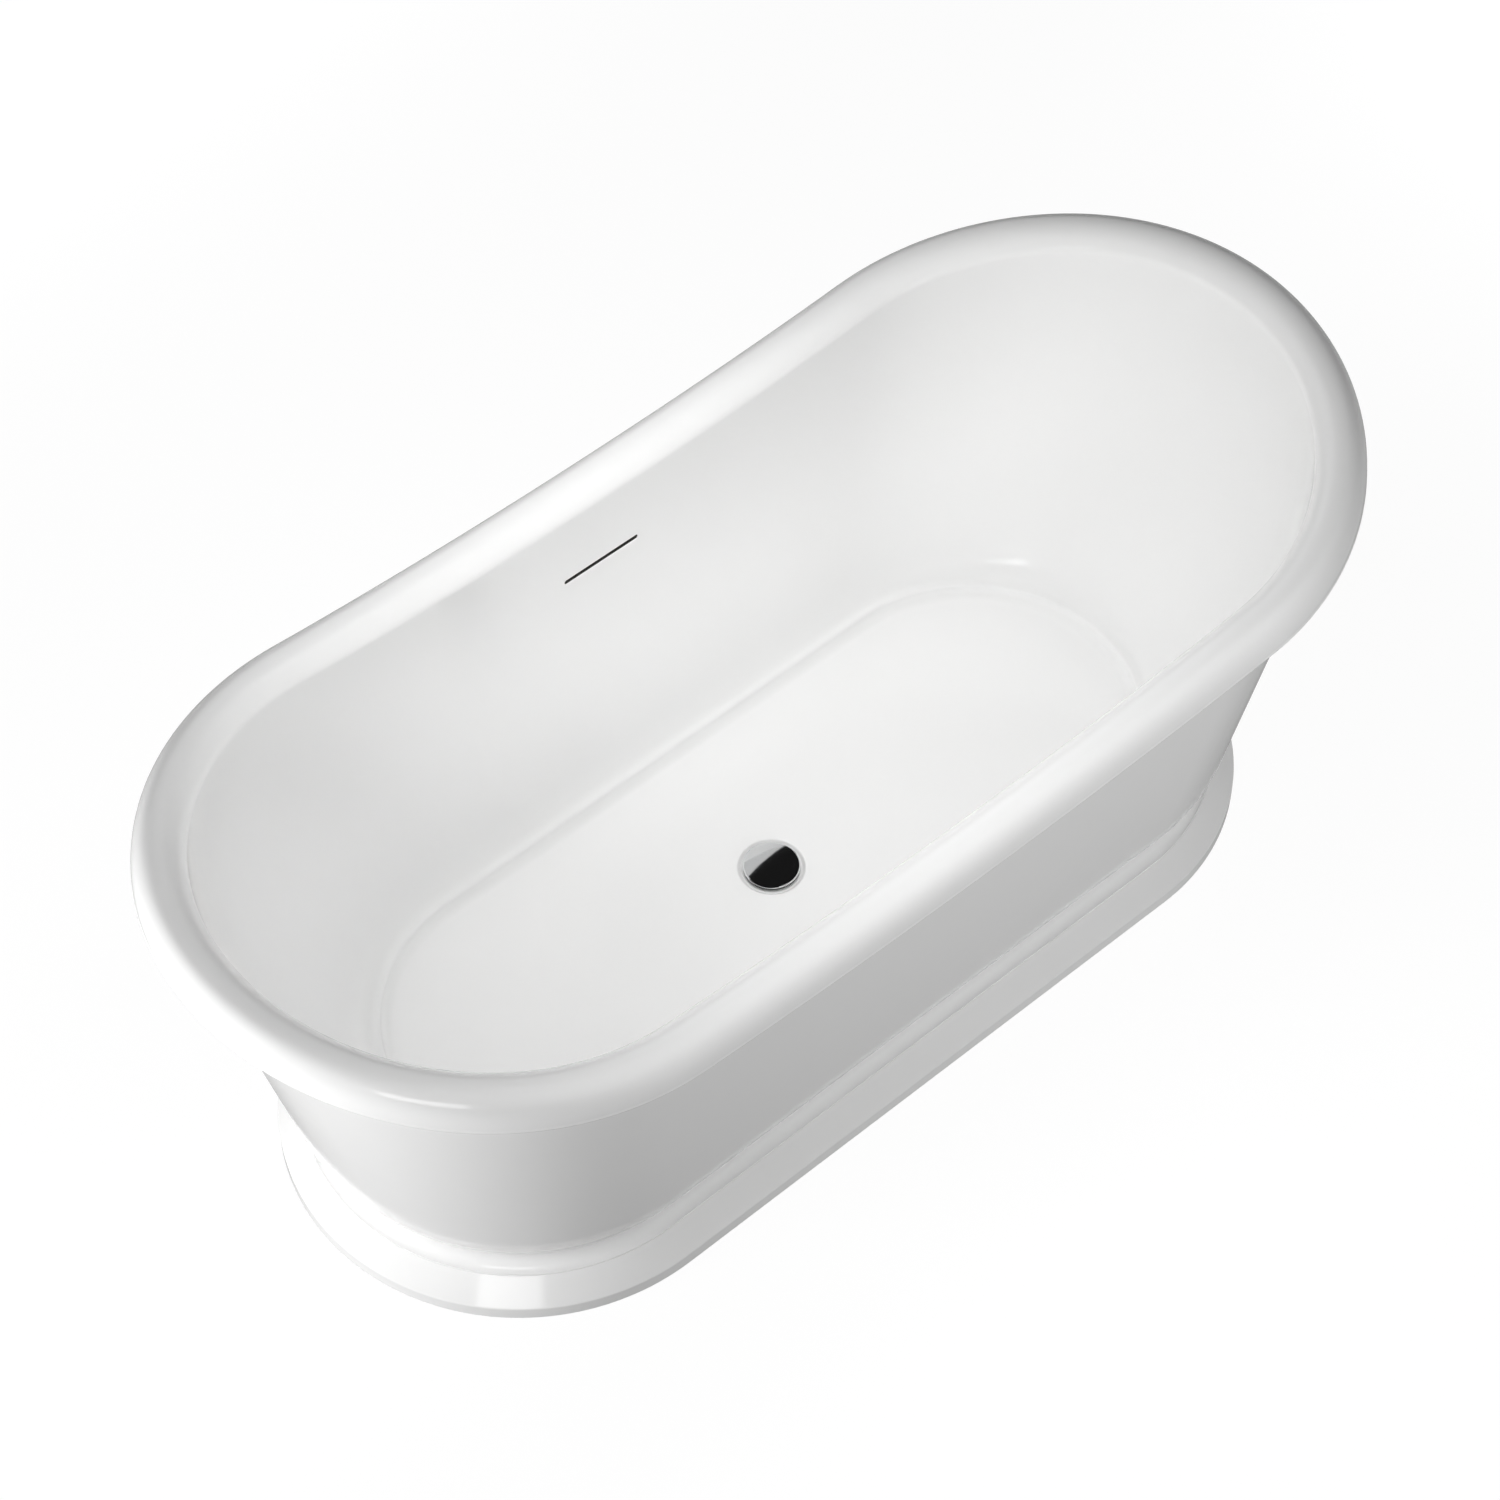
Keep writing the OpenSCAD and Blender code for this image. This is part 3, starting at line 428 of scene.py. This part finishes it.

# %% Slot's lip, painted shade
# a black lining inside the slot: painted shade, standing in for the shade in the duct behind the
# wall
shade_lip_inset, shade_lip_bite, shade_lip_bevel = 0.4 * MM, 0.3 * MM, 0.15 * MM   # into the slot, into the wall
shade_lip_start, shade_lip_end = 1.2 * MM, 11 * MM                           # depths behind the wall's face
shade_lip_rows = [(-shade_lip_inset, depth) for depth in np.linspace(shade_lip_start + shade_lip_bevel, shade_lip_end, 12)]
shade_lip_rows += [(shade_lip_bite, shade_lip_end), (shade_lip_bite, shade_lip_start), (-shade_lip_inset + shade_lip_bevel, shade_lip_start)]
shade_lip_points = np.stack([slot_ring(grow, depth) for grow, depth in shade_lip_rows])
shade_lip = new_piece("slot_shade_lip", shade_lip_points, [grid_quads(shade_lip_points.shape[:2])], "tub", "rubber")

# %% [markdown]
# ## Skirt and plinth
# The skirt is a second formed shell, glued under the roll. Its flank is straight, then the
# chin curves in to a cove above the plinth. The plinth is a moulded ring: an upright band
# on the floor, a slope and a flat top that carries the skirt.

# %% Skirt
def plinth_row(inset, z):
    """Rows so far in from the plinth's lower edge."""
    return level_row(plinth_a - inset, plinth_b - inset, z)


def pulled(p, b, c, q, n):
    """A cubic curve from p to q that leaves towards b and arrives from c."""
    f = np.linspace(0, 1, n + 1)[:, None]
    return p * (1 - f)**3 + 3 * b * f * (1 - f)**2 + 3 * c * f**2 * (1 - f) + q * f**3


neck_in = slope_run + cove_run
neck_h = plinth_h + skirt_foot + cove_h
skirt_top = rim_row(skirt_in, skirt_drop)
chin = level_row(rim_a - chin_end_in, rim_b - chin_side_in, chin_h)
neck = plinth_row(neck_in, neck_h)
chin_pull, neck_pull = 0.55 * (chin_h - neck_h), 0.18 * (chin_h - neck_h)
slant = np.array([(chin_end_in - skirt_in) / (rim_h + end_rise - skirt_drop - chin_h),
                  (chin_side_in - skirt_in) / (rim_h - skirt_drop - chin_h), 0, 1])
flank = straight(skirt_top, chin, 30)
chin_curve = pulled(chin, chin - chin_pull * slant, neck + [0, 0, 0, neck_pull], neck, 60)
turn = np.radians(np.linspace(0, 90, 25))
cove = plinth_row(neck_in - cove_run * (1 - np.cos(turn)), neck_h - cove_h * np.sin(turn))
foot = straight(plinth_row(slope_run, plinth_h + skirt_foot), plinth_row(slope_run, plinth_h), 4)
foot_round = 0.6 * MM
skirt_out = eased([flank, chin_curve, cove, foot], [0, 0, foot_round])
skirt_back = offset(np.concatenate([flank, chin_curve[1:]]), skirt_t)[::-1]
skirt_rows = np.concatenate([skirt_out, plinth_row(neck_in + skirt_t, plinth_h)[None], skirt_back])
skirt_grid = lofted(skirt_rows, columns)
skirt = new_piece("skirt_shell", skirt_grid, [grid_quads(skirt_grid.shape[:2])],
                  "tub", "acrylic", "skirt")

# %% Plinth
def walk(corners, reaches, n=8):
    """A closed run of rows through corners, each rounded by its reach; the first stays sharp."""
    corners = np.asarray(corners)
    lines = [straight(p, q, n) for p, q in zip(corners, np.roll(corners, -1, axis=0))]
    return eased(lines, reaches)[:-1]


top_in, thicken = slope_run + top_run, 2 * MM
edge_round, band_round = 0.8 * MM, 1.5 * MM
plinth_corners = plinth_row(*np.array([
    [top_in, plinth_h], [slope_run, plinth_h], [0, band_h], [0, 0], [flange_run, 0],
    [flange_run, plinth_t], [plinth_t, plinth_t], [plinth_t, band_h - thicken],
    [slope_run + thicken, plinth_h - plinth_t], [top_in, plinth_h - plinth_t]]).T)
plinth_reaches = [edge_round, band_round, edge_round, edge_round, edge_round, 0, 0, 0, 0]
plinth_grid = lofted(walk(plinth_corners, plinth_reaches), columns)
plinth = new_piece("plinth_ring", plinth_grid, [grid_quads(plinth_grid.shape[:2])],
                   "tub", "acrylic", "plinth")

# %% [markdown]
# ## Plug cap
# The cap is turned from brass and chromed: a shallow dome with a bevelled rim, undercut
# below. A black rubber seat fills the undercut and reaches down into the gap over the flange.
# It is partly a real seal and partly painted shade for that shaded gap, so it shows as a dark
# line round the cap.

# %% Cap
def turned_points(profile, sides=128):
    """A profile's points (radius, height) carried round the Z axis, a row for each."""
    turn = np.linspace(0, 2 * np.pi, sides, endpoint=False)
    r, z = np.asarray(profile).T
    return np.stack([np.outer(r, np.cos(turn)), np.outer(r, np.sin(turn)),
                     np.outer(z, 1 + 0 * turn)], axis=-1)


def lathe(profile):
    """Points and faces of a turned piece: (radius, height) carried round the Z axis. The
    first and the last point stand on the axis and close it as poles."""
    rows = turned_points(profile[1:-1])
    sides = rows.shape[1]
    poles = [[0, 0, profile[0, 1]], [0, 0, profile[-1, 1]]]
    k, count = np.arange(sides), len(rows) * sides
    last = count - sides
    fans = [np.stack([np.full(sides, count), k, np.roll(k, -1)], axis=1),
            np.stack([np.full(sides, count + 1), last + np.roll(k, -1), last + k], axis=1)]
    quads = grid_quads(rows.shape[:2], ring=False)
    return np.concatenate([rows.reshape(-1, 3), poles]), [quads] + fans


cap_low, cap_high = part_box("plug_cap")
cap_r, cap_foot = cap_high[0], cap_low[2] + 0.1 * MM
bevel_w, bevel_h, cap_dome = 1.6 * MM, 0.9 * MM, 1.8 * MM


def turned(r, z):
    """A point of a profile, as a row with its radius in both of the places of a plan row."""
    return level_row(r, r, z)


dome_r = np.linspace(0, cap_r - bevel_w, 40)
dome = turned(dome_r, cap_high[2] - cap_dome * (dome_r / dome_r[-1])**2)
bevel_z = cap_high[2] - cap_dome - bevel_h
bevel = straight(dome[-1], turned(cap_r - 0.3 * MM, bevel_z), 8)
side = straight(bevel[-1], turned(cap_r, bevel_z - 0.6 * MM), 6)
seat_and_shade_top = side[-1, 3] - 0.2 * MM
seat_and_shade_out, seat_and_shade_in = cap_r - 0.4 * MM, cap_r - 2.6 * MM
# the seat reaches down into the gap over the flange, under the cap: painted shade there
seat_and_shade_low = cap_low[2] - 2.1 * MM                 # just clear of the flange
throat_r = seat_and_shade_in + 0.4 * MM
wall = straight(side[-1], turned(cap_r, seat_and_shade_top), 4)
under = straight(wall[-1], turned(throat_r, seat_and_shade_top), 6)
throat = straight(under[-1], turned(throat_r, cap_foot), 4)
bottom = straight(throat[-1], turned(0, cap_foot), 12)
cap_reaches = [0.25 * MM, 0.2 * MM, 0.08 * MM, 0.08 * MM, 0.1 * MM, 0.2 * MM]
cap_rows = eased([dome, bevel, side, wall, under, throat, bottom], cap_reaches, n=4)
cap_points, cap_faces = lathe(cap_rows[:, 1:4:2])
cap = new_piece("plug_cap_dome", cap_points, cap_faces, "plug", "chrome", "plug_cap")

# %% Cap's seat, partly painted shade
# a ring: its closed section of (radius, height) runs down the outside and up the inside
# black rubber: partly a real seal, partly painted shade filling the shaded gap under the cap
seat_and_shade_section = [(seat_and_shade_out - 0.2 * MM, seat_and_shade_top + 0.1 * MM), (seat_and_shade_out, seat_and_shade_top - 0.1 * MM),
                (seat_and_shade_out, seat_and_shade_low + 0.3 * MM), (seat_and_shade_out - 0.3 * MM, seat_and_shade_low),
                (seat_and_shade_in + 0.2 * MM, seat_and_shade_low), (seat_and_shade_in, seat_and_shade_low + 0.2 * MM),
                (seat_and_shade_in, seat_and_shade_top - 0.1 * MM), (seat_and_shade_in + 0.2 * MM, seat_and_shade_top + 0.1 * MM)]
seat_and_shade_grid = turned_points(seat_and_shade_section)
seat_and_shade = new_piece("plug_cap_seat_and_shade", seat_and_shade_grid, [grid_quads(seat_and_shade_grid.shape[:2])], "plug", "rubber")

# %% [markdown]
# ## Finishes
# Each finish is a small graph of shader nodes. A class wraps a node's output, so that a
# pattern is written as a sum, and one method adds any other node.

# %% Shader sums
class Wire:
    """An output that takes part in sums: each operator adds a Math node to its graph."""

    def __init__(self, graph, socket):
        self.graph, self.socket = graph, socket

    def _math(self, operation, first, second):
        return self.graph.node("ShaderNodeMath", {"operation": operation}, {0: first, 1: second})

    def __add__(self, other):
        return self._math("ADD", self, other)

    def __sub__(self, other):
        return self._math("SUBTRACT", self, other)

    def __rsub__(self, other):
        return self._math("SUBTRACT", other, self)

    def __mul__(self, other):
        return self._math("MULTIPLY", self, other)

    __radd__, __rmul__ = __add__, __mul__


class Graph:
    """A tree of shader nodes, of a material or of the world."""

    def __init__(self, tree):
        self.tree = tree

    def node(self, kind, settings=None, inputs=None, output=0):
        """Adds a node: its settings come first, then the values or links of its sockets."""
        node = self.tree.nodes.new(kind)
        for key, value in (settings or {}).items():
            if key == "stops":
                ramp = node.color_ramp
                while len(ramp.elements) < len(value):
                    ramp.elements.new(0.5)
                for element, (place, colour) in zip(ramp.elements, value):
                    element.position, element.color = place, (*colour, 1)
            else:
                setattr(node, key, value)
        for key, value in (inputs or {}).items():
            self.feed(node.inputs[key], value)
        return Wire(self, node.outputs[output])

    def feed(self, socket, value):
        """Links a wire to a socket, or sets the socket to a plain value."""
        if isinstance(value, Wire):
            self.tree.links.new(value.socket, socket)
        else:
            socket.default_value = value

    def ray(self, kind):
        """1 for a ray of one kind, such as one straight from the camera, and 0 for the rest."""
        return self.node("ShaderNodeLightPath", output=f"Is {kind} Ray")


class Finish(Graph):
    """A material being wired: its shader's fixed values are set first, then its links."""

    def __init__(self, name, **fixed):
        self.material = bpy.data.materials.new(name)
        self.material.use_nodes = True
        super().__init__(self.material.node_tree)
        self.shader = self.tree.nodes["Principled BSDF"]
        for key, value in fixed.items():
            self.shader.inputs[key.replace("_", " ")].default_value = value

    def place(self, scale=(1, 1, 1)):
        """The object's own coordinates, stretched along its axes."""
        here = self.node("ShaderNodeTexCoord", output="Object")
        return self.node("ShaderNodeMapping", None, {"Vector": here, "Scale": scale})

    def noise(self, where, scale, detail=2.0, roughness=0.5):
        """Soft random values about 0.5, over 1/scale metres."""
        return self.node("ShaderNodeTexNoise", None, {
            "Vector": where, "Scale": scale, "Detail": detail, "Roughness": roughness})

    def blend(self, share, first, second):
        """A colour between two, by a share from 0 to 1."""
        return self.node("ShaderNodeMix", {"data_type": "RGBA"},
                         {0: share, 6: first, 7: second}, output=2)

    def bump(self, height, depth):
        """Tilts the shading by a height map with a depth in metres."""
        normal = self.node("ShaderNodeBump", None, {"Height": height, "Distance": depth})
        self.feed(self.shader.inputs["Normal"], normal)

    def link(self, **wires):
        """Feeds named sockets of the shader."""
        for key, value in wires.items():
            self.feed(self.shader.inputs[key.replace("_", " ")], value)


def rgb(*colour):
    """A colour with its alpha."""
    return (*colour, 1.0)


finishes = {}


def keep(slot, material):
    """Files a finish under the name of its material slot."""
    finishes[slot] = material
    print(f"{slot}: {material.name}, {len(material.node_tree.nodes)} nodes")


# %% [markdown]
# The tub's acrylic is cast sheet: white right through and glossy, with a very faint ripple
# from the mould and a trace of handling in its gloss.

# %% Acrylic
def acrylic_finish():
    f = Finish("glossy white acrylic", IOR=1.49)
    where = f.place()
    cloud = f.noise(where, 4.0, 3.0)
    haze = f.noise(where, 38.0, 4.0, 0.6)
    f.link(Base_Color=f.blend(cloud, rgb(0.935, 0.935, 0.93), rgb(0.948, 0.948, 0.946)),
           Roughness=0.07 + 0.05 * cloud + 0.03 * haze)
    ripple = f.noise(where, 16.0, 1.0) + 0.04 * f.noise(where, 700.0, 1.0)
    f.bump(ripple, 0.00012)
    return f.material


keep("acrylic", acrylic_finish())

# %% [markdown]
# The waste's metal is polished and chromed. The frame is powder-coated steel, and nuts and
# studs are zinc-plated, with the plate's cloudy crystals.

# %% Metals
def chrome_finish():
    f = Finish("polished chrome", Metallic=1.0)
    where = f.place()
    smear = f.noise(where, 90.0, 3.0)
    f.link(Base_Color=f.blend(smear, rgb(0.80, 0.81, 0.82), rgb(0.84, 0.845, 0.85)),
           Roughness=0.03 + 0.04 * smear)
    f.bump(f.noise(where, 60.0, 1.0), 0.00003)
    return f.material


def zinc_finish():
    f = Finish("bright zinc plate", Metallic=1.0)
    where = f.place()
    crystal = f.node("ShaderNodeTexVoronoi", None, {"Vector": where, "Scale": 260.0},
                     output="Distance")
    grime = f.noise(where, 40.0, 4.0)
    f.link(Base_Color=f.blend(grime, rgb(0.55, 0.55, 0.53), rgb(0.74, 0.74, 0.71)),
           Roughness=0.28 + 0.16 * crystal + 0.08 * grime)
    f.bump(crystal, 0.00006)
    return f.material


def powder_finish():
    f = Finish("pale powder coat")
    where = f.place()
    peel = f.noise(where, 420.0, 2.0)
    dust = f.noise(where, 9.0, 5.0, 0.65)
    f.link(Base_Color=f.blend(dust, rgb(0.66, 0.66, 0.65), rgb(0.76, 0.76, 0.75)),
           Roughness=0.42 + 0.15 * peel)
    f.bump(peel, 0.0001)
    return f.material


keep("chrome", chrome_finish())
keep("zinc_steel", zinc_finish())
keep("frame_steel", powder_finish())

# %% [markdown]
# Under the tub there is particle board, sealed with resin: pressed chips that lie flat. The
# rest is moulded: white plastic for the waste, black for the pads, rubber for the seals.

# %% Board and plastics
def board_finish():
    f = Finish("resin-sealed particle board", Specular_IOR_Level=0.35)
    where = f.place((1, 1, 4))
    chips = f.node("ShaderNodeTexVoronoi", {"feature": "F1"},
                   {"Vector": where, "Scale": 140.0}, output="Color")
    tone = f.node("ShaderNodeSeparateColor", None, {0: chips})
    grain = f.noise(f.place((1, 5, 5)), 90.0, 4.0, 0.6)
    wood = f.node("ShaderNodeValToRGB", {"stops": [
        (0.0, (0.30, 0.19, 0.10)), (0.45, (0.50, 0.35, 0.20)), (1.0, (0.66, 0.50, 0.32))]},
        {"Fac": 0.7 * tone + 0.3 * grain})
    f.link(Base_Color=wood, Roughness=0.45 + 0.25 * grain)
    f.bump(0.6 * tone + 0.4 * grain, 0.0003)
    return f.material


def moulded_finish(name, dark, pale, rough, scale, depth):
    """Moulded plastic or rubber: two near tones, a fine grain and its bump. The scale is
    the grain's, for each metre, and the depth is the bump's, in metres."""
    f = Finish(name)
    where = f.place()
    tone, grain = f.noise(where, 14.0, 3.0), f.noise(where, scale, 3.0, 0.6)
    f.link(Base_Color=f.blend(tone, rgb(*dark), rgb(*pale)), Roughness=rough + 0.14 * grain)
    f.bump(grain, depth)
    return f.material


def hose_finish():
    """Grey ribbed hose: rings across its run, from its height and its distance out."""
    f = Finish("grey ribbed hose")
    where = f.place()
    height = f.node("ShaderNodeSeparateXYZ", None, {0: where}, output="Z")
    out = f.node("ShaderNodeSeparateXYZ", None, {0: where}, output="Y")
    rings = f.node("ShaderNodeMath", {"operation": "SINE"}, {0: 1400.0 * (height - 0.8 * out)})
    grain = f.noise(where, 300.0, 2.0)
    f.link(Base_Color=f.blend(grain, rgb(0.30, 0.31, 0.32), rgb(0.38, 0.39, 0.40)),
           Roughness=0.45 + 0.1 * grain)
    f.bump(0.5 * rings + 0.2 * grain, 0.0003)
    return f.material


keep("board", board_finish())
keep("grey_hose", hose_finish())
keep("adhesive", moulded_finish(
    "cured adhesive", (0.72, 0.70, 0.63), (0.80, 0.78, 0.71), 0.55, 220.0, 0.0004))
keep("black_plastic", moulded_finish(
    "black moulded pad", (0.02, 0.02, 0.021), (0.04, 0.04, 0.041), 0.48, 700.0, 0.0002))
keep("rubber", moulded_finish(
    "black rubber", (0.025, 0.025, 0.025), (0.05, 0.05, 0.048), 0.62, 500.0, 0.00015))
keep("white_plastic", moulded_finish(
    "white moulded fitting", (0.76, 0.76, 0.75), (0.84, 0.84, 0.83), 0.32, 350.0, 0.00012))

# %% Finishes on the pieces
def paint(piece, slot):
    """Puts a finish into every material slot of a piece."""
    piece.data.materials.clear()
    piece.data.materials.append(finishes[slot])


for piece in (basin, shade_lip, skirt, plinth, cap, seat_and_shade):
    paint(piece, piece["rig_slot"])
for part in frame["record"]["subparts"]:
    solid = nodes[part["node"]]
    for held in solid.material_slots:
        held.material = finishes[part["material_slot"]]
print("finishes", len(finishes), "on", len(nodes), "nodes")

# %% [markdown]
# ## Studio
# The floor is plain and pale. The camera sees it nearly white, but light bounces off it as
# off a darker floor, so the tub keeps its shading and a little of its shadow. A Mix Shader
# does this: its factor asks what kind of ray has arrived. A second one makes the floor clear
# from below and lets a lamp's light through, so that a lamp under it can show the frame, the
# feet and the waste.

# %% Floor
def white_floor(seen=0.9, mirrored=0.25, glow=1.05, dark=0.12, pale=0.8):
    """Mostly a white glow to the camera, partly one in mirrors, and plain paint otherwise;
    the paint is pale to the camera and dark to bounced light. From below it is clear."""
    f = Finish("white studio floor", Roughness=0.9)
    f.link(Base_Color=f.blend(f.ray("Camera"), rgb(dark, dark, dark), rgb(pale, pale, pale)))
    share = seen * (f.ray("Camera") + f.ray("Transmission")) + mirrored * f.ray("Glossy")
    plain = Wire(f, f.shader.outputs["BSDF"])
    white = f.node("ShaderNodeEmission", None, {"Color": rgb(1, 1, 1), "Strength": glow})
    top = f.node("ShaderNodeMixShader", None, {0: share, 1: plain, 2: white})
    below = f.node("ShaderNodeNewGeometry", output="Backfacing") + f.ray("Shadow")
    clear = f.node("ShaderNodeBsdfTransparent")
    whole = f.node("ShaderNodeMixShader", None, {0: below, 1: top, 2: clear})
    f.feed(f.tree.nodes["Material Output"].inputs["Surface"], whole)
    return f.material


reach = 40.0
floor_corners = np.array([[-1, -1, 0], [1, -1, 0], [1, 1, 0], [-1, 1, 0]]) * reach
floor_mesh = bpy.data.meshes.new("floor")
floor_mesh.from_pydata(floor_corners.tolist(), [], [(0, 1, 2, 3)])
floor = bpy.data.objects.new("floor", floor_mesh)
floor.data.materials.append(white_floor())
bpy.context.scene.collection.objects.link(floor)
print("floor reaches", reach, "m each way")

# %% [markdown]
# The light is soft. A small lamp hangs low over the middle of the tub, so the roll fades
# towards both ends, and broad lamps on each side, most of them near the floor, open up the
# skirt. These are kept out of mirrors, so they add light and no highlight. Two more panels
# are there only to be mirrored: one at the left front gives the plinth its highlight, and
# one behind the tub fills half of the waste's cap. The inspection lamp shines up from under
# the floor.

# %% Lamps
def panel(name, place, aim, width, height, power, spread=180, turn=0, mirrored=False):
    """A rectangular lamp at a place, facing a point and turned in its own plane. It lights
    the tub, or it is only mirrored in it. The sizes are in metres and the power in watts."""
    lamp = bpy.data.lights.new(name, "AREA")
    lamp.shape, lamp.size, lamp.size_y, lamp.energy = "RECTANGLE", width, height, power
    lamp.spread = math.radians(spread)
    box = bpy.data.objects.new(name, lamp)
    box.location = place
    facing = (Vector(aim) - Vector(place)).to_track_quat("-Z", "Y")
    box.rotation_euler = (facing @ Quaternion((0, 0, 1), math.radians(turn))).to_euler()
    box.visible_camera, box.visible_diffuse, box.visible_glossy = False, not mirrored, mirrored
    bpy.context.scene.collection.objects.link(box)


# name, place, aim, width, height, power
panel("middle", (0, 0, 1.5), (0, 0, 0), 0.45, 0.45, 5.1)
panel("middle_narrow", (0, 0, 1.6), (0, 0, 0), 1.0, 0.8, 1.8, spread=80)
panel("left", (-2.4, -0.5, 1.65), (0, -0.5, 1.65), 2.2, 0.65, 26)
panel("left_low", (-2.4, 0.4, 0.35), (0, 0.4, 0.35), 0.8, 0.65, 31)
panel("front", (-0.2, -2.0, 1.65), (-0.2, 0, 1.65), 2.6, 0.65, 10)
panel("front_low", (0.5, -2.0, 0.35), (0.5, 0, 0.35), 1.6, 0.65, 15)
panel("right_low", (2.4, 0.3, 0.35), (0, 0.3, 0.35), 0.8, 0.65, 12)
panel("back_low", (0, 2.2, 0.35), (0, 0, 0.35), 2.4, 0.5, 12)
panel("inspection", (0, 0, -1.2), (0, 0, 0), 1.0, 0.4, 6, spread=70)
panel("plinth_glint", (-2.3, -1.7, 1.8), (-0.6, -0.25, 0.05), 1.1, 0.7, 10, mirrored=True)
panel("cap_card", (0.64, 1.98, 1.9), (0.64, 1.98, 0), 3.0, 1.8, 9.5, turn=17, mirrored=True)

# %% World
world = bpy.data.worlds.new("studio air")
world.use_nodes = True
air = Graph(world.node_tree)
dim = 0.01                                       # the light that it gives, where 1 is white
seen = air.ray("Camera") + air.ray("Transmission")
background = world.node_tree.nodes["Background"]
air.feed(background.inputs["Color"], rgb(1, 1, 1))
air.feed(background.inputs["Strength"], dim + (1 - dim) * seen)
bpy.context.scene.world = world
print("world gives", dim, "and shows white")

# %% Camera
camera = bpy.data.objects.new("camera", bpy.data.cameras.new("camera"))
camera.data.lens, camera.data.sensor_width = 96.41, 36.0
camera.data.clip_end = 200.0
target = Vector((0.0343, 0.0806, 0.2673))
camera.location = Vector((-2.0489, -2.2782, 4.2814))
camera.rotation_euler = (target - camera.location).to_track_quat("-Z", "Y").to_euler()
bpy.context.scene.collection.objects.link(camera)
bpy.context.scene.camera = camera
bpy.context.scene.view_settings.view_transform = "Standard"
print("camera", round((target - camera.location).length, 3), "m from its target")
